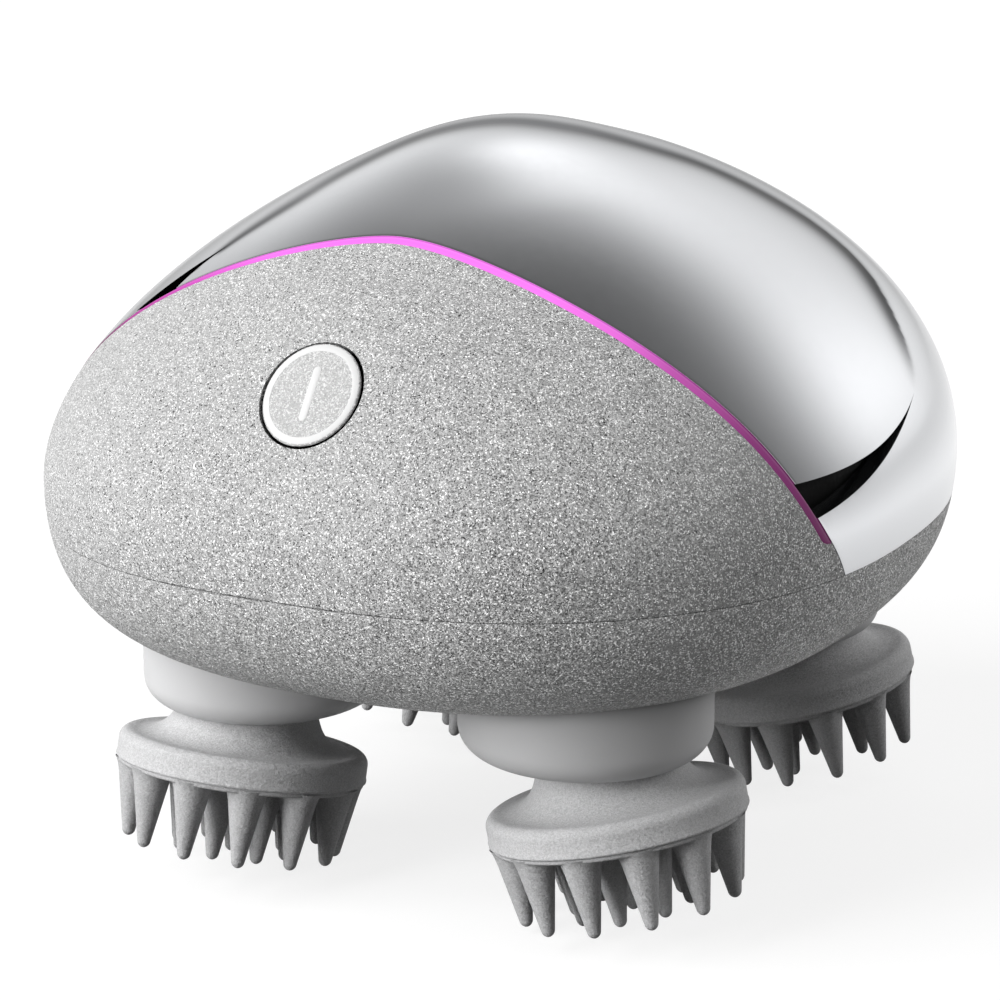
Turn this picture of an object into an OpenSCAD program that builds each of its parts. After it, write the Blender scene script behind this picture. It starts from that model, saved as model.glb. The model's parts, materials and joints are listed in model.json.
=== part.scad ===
// Electric scalp massager: a pebble-shaped body on four tilted kneading heads with soft fingers.
// Millimetres, +Z up, button towards -Y. The origin is under the middle of the body, at fingertip level.
// Heights inside the modules count from the parting line of the body, which part_z lifts off the floor.

/* [Body] */
// Width of the body
body_w = 105; // [98:0.5:126]
// Reach of the body from its widest line to the front
front_l = 55.2; // [52:0.2:66]
// Reach of the body from its widest line to the rear
rear_l = 62; // [58:0.5:74]
// Squareness of the plan outline, where 2 is an ellipse
plan_power = 2.33; // [2.2:0.01:2.8]
// Height of the dome above the parting line
dome_h = 46.2; // [44:0.2:56]
// Height of the widest level above the parting line
waist_h = 4.4; // [3:0.1:6]
// Depth of the bowl below the parting line
bowl_d = 17.5; // [16.5:0.1:21]
// Share of the plan that the flat bottom of the bowl keeps
bowl_flat = 0.66; // [0.5:0.01:0.8]
// How upright the dome starts at the front and at the rear
shoulder = [0.45, 0.71]; // [0.3:0.01:0.9]
// How broad the dome ends at the front and at the rear
crown = [0.19, 0.28]; // [0.05:0.01:0.4]

/* [Walls] */
// Wall of the bowl
base_t = 2; // [1.8:0.1:2.2]
// Wall of the front panel and the bright cover
cover_t = 2; // [1.5:0.1:2.6]
// Wall of the inner shell
inner_t = 1.6; // [1.2:0.1:2.2]
// Gap between a cover and the shell under it
cover_gap = 0.25; // [0.25:0.05:0.4]
// Depth of the inner shell's lip below the parting line
lip_d = 2; // [1:0.1:3]

/* [Front arch] */
// Height of the arch above the parting line
arch_h = 34.9; // [32:0.1:40]
// Half width of the arch at the parting line
arch_w = 50.5; // [49:0.1:51.5]
// Reach of the level stretch at the top of the arch to each side
arch_flat = 14.3; // [10:0.1:28]
// Height at which the ends of the arch turn down
arch_turn = 22.7; // [14:0.1:26]
// Width of the light strip at the top of the arch, seen from the front
strip_w = 0.7; // [0.5:0.05:1.2]
// Share of its width that the light strip loses towards its ends
strip_taper = 0.45; // [0:0.05:0.6]
// Height at which the light strip ends
strip_end = 4.4; // [3:0.1:8]
// Seam round the light strip and between the covers
seam = 0.1; // [0.05:0.05:0.2]

/* [Heads] */
// Distance between the left and right heads
head_gap_x = 43.2; // [42.5:0.1:52]
// Distance between the front and rear heads
head_gap_y = 55.6; // [50:0.1:60]
// Place of the middle of the four heads behind the origin
head_mid_y = 2.8; // [0:0.1:5]
// Radius of a drive hub
hub_r = 14.8; // [12.5:0.1:15.5]
// Depth of the hub's lower face below the parting line
hub_d = 23.1; // [21:0.1:26]
// Rounding of the hub's lower edge
hub_round = 3.2; // [1:0.1:4]
// Tilt of a head from upright
head_tilt = 13; // [8:0.5:16]
// Sideways offset of the head at its lower rim
head_offset = 4.8; // [4:0.1:5.5]
// Depth of the head's lower rim below the parting line
head_d = 31.3; // [29.5:0.1:36]
// Radius of a head
head_r = 15.2; // [13:0.1:16.5]
// Thickness of a head's rim
rim_t = 3.4; // [3:0.1:5]
// Radius of the neck under the hub
neck_r = 8; // [6.5:0.1:9]
// Directions in which the heads lean at rest: front left, front right, rear right, rear left
head_leans = [-100, -10, 20, 210]; // [-180:1:360]

/* [Fingers] */
// Thickness of the soft pad that carries the fingers
pad_t = 1.2; // [1:0.1:2]
// Fingers in the outer ring
outer_fingers = 12; // [10:1:14]
// Fingers in the inner ring
inner_fingers = 8; // [5:1:9]
// Length of an outer finger below the pad
finger_l = 8.6; // [7:0.1:12]
// Extra length of the inner fingers
inner_extra = 0.6; // [0:0.1:1]
// Radius of a finger at its root
finger_r = 2.3; // [1.8:0.05:2.5]
// Radius of a finger at its tip
tip_r = 0.65; // [0.5:0.05:1]
// Radius of the outer ring of fingers
outer_ring = 12.6; // [11:0.1:13]
// Radius of the inner ring of fingers
inner_ring = 6.9; // [6:0.1:7.5]

/* [Button] */
// Radius of the button
button_r = 6.1; // [5:0.1:7]
// Place of the button up the front, as a share of the dome's curve
button_place = 0.29; // [0.24:0.01:0.34]
// Travel of the button
button_travel = 0.8; // [0.5:0.1:1.2]
// Gap round the button
button_gap = 0.35; // [0.3:0.05:0.6]
// Width of the ring on the button
ring_w = 0.85; // [0.6:0.05:1.2]

/* [Gear train] */
// Distance of the drive gears from the middle
drive_x = 15.5; // [15.2:0.1:16]
// Teeth of an output gear
output_teeth = 29; // [28:1:30]
// Teeth of a drive gear's pinion
pinion_teeth = 28; // [27:1:28]
// Teeth of a drive gear's worm wheel
wheel_teeth = 20; // [18:1:22]
// Pitch radius of the worm
worm_r = 5; // [4.6:0.1:5.4]
// Play between the teeth
backlash = 0.3; // [0.2:0.05:0.4]
// Radius of the head spindles
spindle_r = 2.5; // [2:0.1:3]
// Radius of the drive gear axles
axle_r = 1.5; // [1.2:0.1:2]
// Running clearance of a shaft in its bush
run_gap = 0.05; // [0.02:0.01:0.08]
// Face width of the output gears
gear_t = 4; // [3:0.1:4.5]
// Face width of the worm wheels
wheel_t = 3.6; // [3:0.1:4]

/* [Inside] */
// Radius of the motor
motor_r = 10; // [8:0.5:10]
// Length of the motor
motor_l = 20; // [16:0.5:20]
// Radius of the battery cell
cell_r = 7.1; // [6:0.1:7.2]
// Length of the battery cell
cell_l = 50; // [40:1:50]
// Thickness of the gear plate
plate_t = 2; // [1.6:0.1:3]
// Size of the main board
board_size = [42, 32, 1.6]; // [1:0.1:50]
// Radius of the casing screws
screw_r = 1.25; // [1:0.05:1.5]

/* [Hidden] */
$fn = 48;
touch = 0.02;
over = 1;
root_in = 0.4;
sides = 44;
dome_rows = 11;
waist_rows = 2;
bowl_rows = 9;
waist_y = (front_l - rear_l) / 2;

// Heads: 0 front left, 1 front right, 2 rear right, 3 rear left
function head_x(i) = (i == 0 || i == 3 ? -1 : 1) * head_gap_x / 2;
function head_y(i) = head_mid_y + (i < 2 ? -1 : 1) * head_gap_y / 2;
pivot_d = head_d - head_offset / tan(head_tilt);
rim_u = head_offset / sin(head_tilt);
tip_u = rim_u + pad_t + finger_l;
function tip_drop(u, ring, count) =
    (u - tip_r) * cos(head_tilt) + ring * sin(head_tilt) * cos(180 / count) + tip_r;
part_z = pivot_d + max(tip_drop(tip_u, outer_ring, outer_fingers),
                       tip_drop(tip_u + inner_extra, inner_ring, inner_fingers));

// Levels from the parting line
hub_gap = 0.5;
hub_top = -9.6;
roof_t = 3;
boss_gap = 1.2;
bush_gap = 1.8;
plate_gap = 1.6;
motor_lift = 0.4;
roof_z = hub_top + hub_gap;
roof_top = roof_z + roof_t;
seal_t = 1.6;
flange_t = 0.8;
gear_z = roof_top + flange_t + bush_gap;
gear_top = gear_z + gear_t;
face_gap = 0.3;
boss_top = gear_z - boss_gap;
axle_seat = 8;
plate_z = gear_top + plate_gap;
plate_top = plate_z + plate_t;
worm_z = plate_top + motor_r + motor_lift;
bush_t = 1;
bush_r = spindle_r + bush_t;
seal_r = bush_r + 1;
flange_r = spindle_r + 2.4;
spindle_over = 0.6;
spindle_bottom = -15.6;
well_r = hub_r + hub_gap;
well_t = 1.6;

// Gasket under the inner shell's lip, on a ledge of the bowl
ledge_t = 1.2;
ledge_in = base_t + root_in;
gasket_w = 0.8;
gasket_t = 1.2;
gasket_in = base_t + 2.7;

// Gear train, worked out from where the heads stand
gear_module = 2 * norm([head_gap_x / 2 - drive_x, head_gap_y / 2]) / (output_teeth + pinion_teeth);
wheel_module = 2 * (drive_x - worm_r) / wheel_teeth;
worm_pitch = PI * wheel_module;
tooth_out = 0.9;
tooth_in = 1.2;
thread_out = 0.85;
wheel_tip = wheel_module * (wheel_teeth / 2 + tooth_out);
worm_tip = worm_r + thread_out * wheel_module;
worm_core = worm_r - tooth_in * wheel_module;
worm_l = 12;
pressure = 20;
sleeve_t = 2.3;
pinion_in = 0.2;
axle_boss_t = 2.5;
axle_places = [[-drive_x, head_mid_y], [drive_x, head_mid_y]];

// Bracket that carries the worm and the motor
leg_t = 2.4;
leg_w = 8;
wheel_gap = 1.2;
leg_x = drive_x + wheel_tip + wheel_gap;
bridge_z = worm_z + worm_tip + 0.9;
bridge_t = 2;
bridge_top = bridge_z + bridge_t;
motor_wall_y = head_mid_y + wheel_tip + wheel_gap;
motor_wall_t = 2.2;
motor_y = motor_wall_y + motor_wall_t;
worm_wall_y = head_mid_y - worm_l / 2 - 2.2;
worm_wall_t = 2.6;
worm_wall_w = 8;
shaft_r = 1;
motor_boss_r = 3;
motor_fit = 0.1;
motor_screw_x = 6;
motor_screw_bite = 3;
foot_out = 3.4;

// Screw places
standoff_x = leg_x + leg_t + 3.9;
standoffs = [[-standoff_x, head_mid_y], [standoff_x, head_mid_y],
             [0, head_y(0) - 8], [0, head_y(2) + 13.4]];
standoff_r = 2.5;
standoff_foot = base_t + 1;
plate_inset = 6;
plate_edge = 4;
plate_rear = 2.8;
plate_screw_l = 8;
casing_posts = [[-standoff_x - 8, head_mid_y], [standoff_x + 8, head_mid_y], [0, head_y(2) + 19.8]];
post_r = 3;
screw_head_r = 1.7 * screw_r;
screw_head_t = 1.6;
screw_bite = 7;
screw_play = 0.15;
head_play = 0.2;
casing_seat = -5;
casing_bite = 9;
casing_screw_l = 12;
board_z = bridge_top + 3;
board_top = board_z + board_size[2];
board_posts = [for (x = [-1, 1]) for (y = [-6, 7]) [x * (board_size[0] / 2 - 3), head_mid_y + y]];
board_post_r = 2.2;
board_screw_r = 0.9;
board_screw_l = 5;

// Charging pad under the bowl
pad_r = 11;
pad_drop = 0.8;
contact_r = 2;
contact_x = 5;
contact_play = 0.05;
contact_in = 1;
contact_places = [[-contact_x, head_mid_y], [contact_x, head_mid_y]];

function bezier(t, a, b, c, d) =
    pow(1 - t, 3) * a + 3 * pow(1 - t, 2) * t * b + 3 * (1 - t) * t * t * c + pow(t, 3) * d;
function bezier_slope(t, a, b, c, d) =
    3 * (pow(1 - t, 2) * (b - a) + 2 * (1 - t) * t * (c - b) + t * t * (d - c));

// Pebble skin: a is the angle from the front, inset is how far inside the outer skin
function plan_radius(a, inset) =
    pow(pow(abs(sin(a)) / (body_w / 2 - inset), plan_power)
      + pow(abs(cos(a)) / ((cos(a) > 0 ? front_l : rear_l) - inset), plan_power), -1 / plan_power);
function plan_point(a, inset, q) =
    [q * plan_radius(a, inset) * sin(a), waist_y - q * plan_radius(a, inset) * cos(a)];
function from_front(pair, a) = pair[1] + (pair[0] - pair[1]) * (1 + cos(a)) / 2;
function dome_point(a, t, inset) =
    let (h = dome_h - waist_h - inset)
    concat(plan_point(a, inset, bezier(t, 1, 1, from_front(crown, a), 0)),
           [waist_h + bezier(t, 0, from_front(shoulder, a) * h, h, h)]);
function bowl_share(z, inset) = 1 - pow(1 - (waist_h - z) / (waist_h + bowl_d - inset), 1 / 3);
function bowl_point(a, t, inset) =
    concat(plan_point(a, inset, bezier(t, 1, 1, bowl_flat, 0)),
           [waist_h - (waist_h + bowl_d - inset) * (1 - pow(1 - t, 3))]);
function ring_angles() = [for (j = [0 : sides - 1]) 360 * j / sides];

// Rings from the rim to next to the pole, then the pole
function dome_rings(inset, rim) =
    let (t0 = bowl_share(rim, inset))
    concat([for (i = [0 : waist_rows - 1])
               [for (a = ring_angles()) bowl_point(a, t0 * (1 - i / waist_rows), inset)]],
           [for (i = [0 : dome_rows - 1])
               [for (a = ring_angles()) dome_point(a, i / dome_rows, inset)]]);
function bowl_rings(inset, rim) =
    let (t0 = bowl_share(rim, inset))
    [for (i = [0 : bowl_rows - 1])
        [for (a = ring_angles()) bowl_point(a, t0 + (1 - t0) * i / bowl_rows, inset)]];
function flat(rings) = [for (ring = rings) for (p = ring) p];
function skin_faces(rows, first) =
    concat([for (i = [0 : rows - 2]) for (j = [0 : sides - 1])
               let (k = (j + 1) % sides, b = first + i * sides)
               each [[b + j, b + sides + k, b + k], [b + j, b + sides + j, b + sides + k]]],
           [for (j = [0 : sides - 1])
               let (b = first + (rows - 1) * sides)
               [b + j, first + rows * sides, b + (j + 1) % sides]]);
function rim_faces(second) =
    [for (j = [0 : sides - 1]) let (k = (j + 1) % sides)
        each [[j, k, second + k], [j, second + k, second + j]]];
function rim_cap() = [for (j = [1 : sides - 2]) [0, j, j + 1]];
function turned(faces, flip) = flip ? [for (f = faces) [f[2], f[1], f[0]]] : faces;

// Closed shell between an outer and an inner skin that share their rim's level
module skin_shell(outer, outer_pole, inner, inner_pole, flip) {
    second = len(outer) * sides + 1;
    polyhedron(concat(flat(outer), [outer_pole], flat(inner), [inner_pole]),
               turned(concat(skin_faces(len(outer), 0), turned(skin_faces(len(inner), second), true),
                             rim_faces(second)), flip));
}

// Solid under a skin, closed flat at its rim
module skin_solid(rings, pole, flip) {
    polyhedron(concat(flat(rings), [pole]),
               turned(concat(skin_faces(len(rings), 0), rim_cap()), flip));
}

function dome_pole(inset) = [0, waist_y, dome_h - inset];
function bowl_pole(inset) = [0, waist_y, inset - bowl_d];

module dome_shell(outer, inner, rim) {
    skin_shell(dome_rings(outer, rim), dome_pole(outer), dome_rings(inner, rim), dome_pole(inner), false);
}

module dome_solid(inset, rim) {
    skin_solid(dome_rings(inset, rim), dome_pole(inset), false);
}

module bowl_solid(inset) {
    skin_solid(bowl_rings(inset, 0), bowl_pole(inset), true);
}

module plan_ring(outer, inner, z, h) {
    translate([0, 0, z]) linear_extrude(h) difference() {
        polygon([for (a = ring_angles()) plan_point(a, outer, 1)]);
        polygon([for (a = ring_angles()) plan_point(a, inner, 1)]);
    }
}

module lift() {
    translate([0, 0, part_z]) children();
}

// Upright rod from z0 to z1, and a hole that runs past both ends
module rod(r, z0, z1) {
    translate([0, 0, z0]) cylinder(r = r, h = z1 - z0);
}

module hole(r, z0, z1) {
    rod(r, z0 - over, z1 + over);
}

module tube(r_out, r_in, z0, z1) {
    difference() {
        rod(r_out, z0, z1);
        hole(r_in, z0, z1);
    }
}

// Rod along Y from y0 to y1
module along_y(x, y0, y1, z, r) {
    translate([x, y1, z]) rotate([90, 0, 0]) cylinder(r = r, h = y1 - y0);
}

module block(x0, x1, y0, y1, z0, z1) {
    translate([x0, y0, z0]) cube([x1 - x0, y1 - y0, z1 - z0]);
}

module at_heads() {
    for (i = [0 : 3]) translate([head_x(i), head_y(i), 0]) children();
}

module at_places(places) {
    for (p = places) translate([p[0], p[1], 0]) children();
}

// Screw with its head's seat at z = 0, pointing down
module screw(r, l) {
    union() {
        rod(screw_head_r * r / screw_r, 0, screw_head_t);
        rod(r, -l, screw_head_t / 2);
    }
}

// Front arch, seen from the front and moved out by d along its normal
function arch_point(t, d) =
    let (x = bezier(t, 0, arch_flat, arch_w, arch_w),
         z = bezier(t, arch_h, arch_h, arch_turn, 0),
         dx = bezier_slope(t, 0, arch_flat, arch_w, arch_w),
         dz = bezier_slope(t, arch_h, arch_h, arch_turn, 0),
         out = d * (1 - strip_taper * t) / norm([dx, dz]))
    [x - out * dz, z + out * dx];
arch_steps = 14;
function arch_outline(d) =
    let (half = [for (i = [0 : arch_steps]) arch_point(i / arch_steps, d)], foot = -5)
    concat(half, [[half[arch_steps][0], foot], [-half[arch_steps][0], foot]],
           [for (i = [arch_steps : -1 : 1]) [-half[i][0], half[i][1]]]);
rim_share = bezier(bowl_share(0, 0), 1, 1, bowl_flat, 0);
corner_y = waist_y - rim_share * front_l
    * pow(1 - pow(arch_w / (rim_share * body_w / 2), plan_power), 1 / plan_power);

module arch_region(d) {
    translate([0, corner_y, 0]) rotate([90, 0, 0]) linear_extrude(front_l) polygon(arch_outline(d));
}

module strip_region(d0, d1) {
    intersection() {
        difference() {
            arch_region(d1);
            arch_region(d0);
        }
        block(-body_w, body_w, -2 * front_l, corner_y, strip_end, dome_h);
    }
}

// Dark slots of the bright cover: one on the right side, one on the left shoulder
function curve3(a, b, c, n) =
    [for (i = [0 : n]) let (t = i / n) pow(1 - t, 2) * a + 2 * (1 - t) * t * b + t * t * c];
slot_tip = [5, 15.7];
side_slot = concat(curve3([-29, 11.7], [-8, 11.4], slot_tip, 8),
                   curve3(slot_tip, [-12, 9.5], [-28.4, 7.2], 8));
shoulder_tip = [-24.2, 32.4];
shoulder_slot = concat(curve3([-33.6, 24], [-29.6, 28.4], shoulder_tip, 6),
                       curve3(shoulder_tip, [-27.2, 30], [-28.2, 26.6], 6));

module slots() {
    rotate([90, 0, 90]) linear_extrude(body_w) polygon(side_slot);
    rotate([90, 0, 0]) linear_extrude(front_l + rear_l) polygon(shoulder_slot);
}

// Button frame: +Z is the outward normal of the front panel
button_at = dome_point(0, button_place, 0);
button_slope = atan2(bezier_slope(button_place, 0, shoulder[0], 1, 1) * (dome_h - waist_h),
                     -bezier_slope(button_place, 1, 1, crown[0], 0) * front_l);
module at_button() {
    translate(button_at) rotate([button_slope, 0, 0]) children();
}
button_top = 0.1;
stem_r = 2.2;
stem_in = 0.5;
cap_t = 1.2;
inlay_t = 0.5;
ring_edge = 0.1;
ring_r = button_r - ring_edge;
mark_l = 7;
mark_w = 0.8;
button_cut = 8;
stem_cut = 12;
switch_h = 3.6;
switch_w = 6;
plunger_r = 1.7;
plunger_h = 1.2;
stem_end = -(cover_t + cover_gap + inner_t + 2.4);
switch_top = stem_end - button_travel - 0.3;
button_board_z = switch_top - switch_h;
button_board_t = 1.2;
button_board_size = [16, 11];
button_post_x = 6.4;
button_post_r = 1.6;
button_pilot_r = 0.8;
light_hole_r = 1.6;
light_hole_drop = 3;

// Spur gear outline with involute flanks
function involute(angle) = tan(angle) * 180 / PI - angle;
function flank_angle(r, pitch, half) =
    half + involute(pressure) - involute(acos(min(1, pitch * cos(pressure) / r)));
function gear_outline(m, teeth, play) =
    let (pitch = m * teeth / 2,
         low = pitch - tooth_in * m,
         root = max(low, pitch * cos(pressure) + touch),
         tip = pitch + tooth_out * m,
         half = (PI * m / 2 - play) / (2 * pitch) * 180 / PI,
         radii = [for (i = [0 : 3]) root + (tip - root) * i / 3])
    [for (k = [0 : teeth - 1]) let (c = 360 * k / teeth)
        each concat([let (a = c - flank_angle(root, pitch, half)) low * [cos(a), sin(a)]],
                    [for (r = radii) let (a = c - flank_angle(r, pitch, half)) r * [cos(a), sin(a)]],
                    [for (i = [3 : -1 : 0]) let (r = radii[i], a = c + flank_angle(r, pitch, half))
                        r * [cos(a), sin(a)]],
                    [let (a = c + flank_angle(root, pitch, half)) low * [cos(a), sin(a)]])];

// Phases that bring the teeth into mesh at rest
function mesh_phase(i) =
    let (side = head_x(i) < 0 ? -1 : 1,
         line = atan2(head_y(i) - head_mid_y, head_x(i) - side * drive_x),
         pitch = 360 / pinion_teeth,
         off = pinion_phase(side) - line,
         d = off - pitch * floor(off / pitch))
    line + 180 - d * pinion_teeth / output_teeth + 180 / output_teeth;
function wheel_phase(side) = side > 0 ? 180 : 180 / wheel_teeth;
function pinion_phase(side) = wheel_phase(side);

module base_casing() {
    pad_z = -bowl_d - pad_drop;
    color("silver") lift() difference() {
        union() {
            skin_shell(bowl_rings(0, 0), bowl_pole(0), bowl_rings(base_t, 0), bowl_pole(base_t), true);
            intersection() {
                bowl_solid(root_in);
                union() {
                    at_heads() rod(well_r + well_t, -bowl_d, roof_top);
                    at_places(casing_posts) rod(post_r, -bowl_d, -touch);
                    at_places(axle_places) rod(axle_r + axle_boss_t, -bowl_d, boss_top);
                }
            }
            at_places(standoffs) rod(standoff_r, standoff_foot - bowl_d, plate_z);
            plan_ring(ledge_in, gasket_in, -lip_d - gasket_t - ledge_t, ledge_t);
            translate([0, head_mid_y, 0]) rod(pad_r, pad_z, base_t - bowl_d);
        }
        at_heads() {
            rod(well_r, -hub_d, roof_z);
            rod(seal_r, roof_z - over, roof_z + seal_t);
            hole(bush_r, roof_z, roof_top);
        }
        at_places(standoffs) rod(screw_r, plate_z - screw_bite, plate_z + over);
        at_places(casing_posts) {
            hole(screw_r + screw_play, -bowl_d, 0);
            rod(screw_head_r + head_play, -bowl_d - over, casing_seat);
        }
        at_places(axle_places) rod(axle_r, boss_top - axle_seat, boss_top + over);
        at_places(contact_places) hole(contact_r + contact_play, pad_z, base_t - bowl_d);
    }
}

module inner_shell() {
    outer = cover_t + cover_gap;
    color("black") lift() difference() {
        union() {
            dome_shell(outer, outer + inner_t, -lip_d);
            intersection() {
                dome_solid(outer + root_in, -lip_d);
                union() {
                    at_places(casing_posts) rod(post_r, touch, dome_h);
                    at_button() for (x = [-1, 1])
                        translate([x * button_post_x, 0, 0]) rod(button_post_r, button_board_z, 0);
                }
            }
        }
        at_places(casing_posts) rod(screw_r, -over, casing_bite);
        at_button() hole(stem_r + button_gap, -stem_cut, 0);
        translate([0, waist_y, arch_h - light_hole_drop]) rotate([90, 0, 0])
            cylinder(r = light_hole_r, h = front_l);
    }
}

module front_panel() {
    color("lightgray") lift() difference() {
        intersection() {
            dome_shell(0, cover_t, 0);
            arch_region(strip_w - seam);
        }
        strip_region(-seam, strip_w);
        at_button() rod(button_r + button_gap, -button_cut, button_cut);
    }
}

module chrome_cover() {
    color("gainsboro") lift() difference() {
        dome_shell(0, cover_t, 0);
        arch_region(strip_w);
        slots();
    }
}

module light_strip() {
    color("violet") lift() intersection() {
        dome_shell(seam, cover_t, 0);
        strip_region(0, strip_w - seam);
    }
}

module casing_gasket() {
    color("dimgray") lift()
        plan_ring(gasket_in - gasket_w, gasket_in, -lip_d - gasket_t, gasket_t - touch);
}

// Bar of the button's mark, as deep as an inlay and up to z1
module mark_bar(z1) {
    translate([0, 0, button_top - inlay_t]) linear_extrude(z1 - button_top + inlay_t) union() {
        square([mark_w, mark_l - mark_w], center = true);
        for (y = [-1, 1]) translate([0, y * (mark_l - mark_w) / 2]) circle(r = mark_w / 2);
    }
}

module button_cap() {
    color("lightgray") lift() at_button() difference() {
        union() {
            rod(button_r, button_top - cap_t, button_top);
            rod(stem_r, stem_end, button_top - stem_in);
        }
        tube(ring_r, ring_r - ring_w, button_top - inlay_t, button_top + over);
        mark_bar(button_top + over);
    }
}

module button_ring() {
    color("white") lift() at_button() tube(ring_r, ring_r - ring_w, button_top - inlay_t, button_top);
}

module button_mark() {
    color("white") lift() at_button() mark_bar(button_top);
}

module button_board() {
    half = button_board_size / 2;
    color("darkgreen") lift() at_button() difference() {
        block(-half[0], half[0], -half[1], half[1], button_board_z - button_board_t, button_board_z);
        for (x = [-1, 1]) translate([x * button_post_x, 0, 0])
            hole(button_pilot_r, button_board_z - button_board_t, button_board_z);
    }
}

module tact_switch() {
    half = switch_w / 2;
    body_top = switch_top - plunger_h;
    color("dimgray") lift() at_button() union() {
        block(-half, half, -half, half, button_board_z, body_top);
        rod(plunger_r, body_top - touch, switch_top);
    }
}

module gear_plate() {
    x1 = standoff_x + plate_edge;
    color("slategray") lift() difference() {
        intersection() {
            block(-x1, x1, standoffs[2][1] - plate_edge, standoffs[3][1] + plate_rear, plate_z, plate_top);
            translate([0, 0, plate_z]) linear_extrude(plate_t)
                polygon([for (a = ring_angles()) plan_point(a, plate_inset, 1)]);
        }
        at_heads() hole(bush_r, plate_z, plate_top);
        at_places(standoffs) hole(screw_r + screw_play, plate_z, plate_top);
        at_places(axle_places) hole(axle_r + axle_boss_t + boss_gap, plate_z, plate_top);
    }
}

module plate_screws() {
    feet = [standoffs[0], standoffs[1]];
    ends = [standoffs[2], standoffs[3]];
    color("gray") lift() {
        at_places(feet) translate([0, 0, plate_top + bridge_t]) screw(screw_r, plate_screw_l);
        at_places(ends) translate([0, 0, plate_top]) screw(screw_r, plate_screw_l);
    }
}

module casing_screws() {
    color("gray") lift() at_places(casing_posts)
        translate([0, 0, casing_seat]) mirror([0, 0, 1]) screw(screw_r, casing_screw_l);
}

module lower_bushes() {
    color("peru") lift() at_heads() difference() {
        union() {
            rod(bush_r, roof_z + seal_t, roof_top + touch);
            rod(flange_r, roof_top, roof_top + flange_t);
        }
        hole(spindle_r + run_gap, roof_z + seal_t, roof_top + flange_t);
    }
}

module upper_bushes() {
    color("peru") lift() at_heads() difference() {
        union() {
            rod(flange_r, plate_z - flange_t, plate_z);
            rod(bush_r, plate_z - touch, plate_top);
        }
        hole(spindle_r + run_gap, plate_z - flange_t, plate_top);
    }
}

module shaft_seals() {
    color("black") lift() at_heads()
        tube(seal_r - touch, spindle_r + run_gap, roof_z, roof_z + seal_t - touch);
}

module gear_axles() {
    color("gray") lift() at_places(axle_places) rod(axle_r, boss_top - axle_seat, bridge_top);
}

// One drive gear: pinion below the gear plate, worm wheel above it, on one sleeve
module drive_gear(side) {
    translate([side * drive_x, head_mid_y, 0]) difference() {
        union() {
            rod(axle_r + sleeve_t, boss_top + face_gap, bridge_z - face_gap);
            translate([0, 0, gear_z + pinion_in]) rotate([0, 0, pinion_phase(side)])
                linear_extrude(gear_t - 2 * pinion_in)
                    polygon(gear_outline(gear_module, pinion_teeth, backlash));
            translate([0, 0, worm_z - wheel_t / 2]) rotate([0, 0, wheel_phase(side)])
                linear_extrude(wheel_t) polygon(gear_outline(wheel_module, wheel_teeth, 2 * backlash));
        }
        hole(axle_r + run_gap, boss_top, bridge_z);
    }
}

module left_drive_gear() {
    color("ivory") lift() drive_gear(-1);
}

module right_drive_gear() {
    color("ivory") lift() drive_gear(1);
}

// Worm on its shaft: a core with one helical thread, along Y at x = 0
thread_steps = 16;
thread_turns = 4;
thread_crest = 0.16;
thread_foot = 0.26;
thread_start = 0.25;
thread_root = 0.3;
function thread_ring(k) =
    let (a = 360 * k / thread_steps,
         y = worm_pitch * (k / thread_steps - thread_turns / 2 + thread_start),
         crest = thread_crest * worm_pitch,
         foot = thread_foot * worm_pitch,
         root = worm_core - thread_root)
    [for (s = [[root, -foot], [worm_tip, -crest], [worm_tip, crest], [root, foot]])
        [s[0] * sin(a), y + s[1], s[0] * cos(a)]];
module thread() {
    n = thread_steps * thread_turns;
    polyhedron([for (k = [0 : n]) for (p = thread_ring(k)) p],
               concat([[2, 1, 0], [3, 2, 0]],
                      [for (k = [0 : n - 1]) for (j = [0 : 3]) let (b = 4 * k, c = (j + 1) % 4)
                          each [[b + j, b + c, b + 4 + c], [b + j, b + 4 + c, b + 4 + j]]],
                      [[4 * n, 4 * n + 1, 4 * n + 2], [4 * n, 4 * n + 2, 4 * n + 3]]));
}

module worm() {
    color("goldenrod") lift() translate([0, head_mid_y, worm_z]) difference() {
        union() {
            along_y(0, -worm_l / 2, worm_l / 2, 0, worm_core);
            thread();
        }
        along_y(0, -worm_l, worm_l, 0, shaft_r);
    }
}

module motor_shaft() {
    color("gray") lift()
        along_y(0, worm_wall_y - worm_wall_t, motor_y + motor_l / 2, worm_z, shaft_r);
}

module worm_bush() {
    y0 = worm_wall_y - worm_wall_t;
    color("peru") lift() difference() {
        along_y(0, y0, worm_wall_y, worm_z, shaft_r + bush_t);
        along_y(0, y0 - over, worm_wall_y + over, worm_z, shaft_r + run_gap);
    }
}

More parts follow.
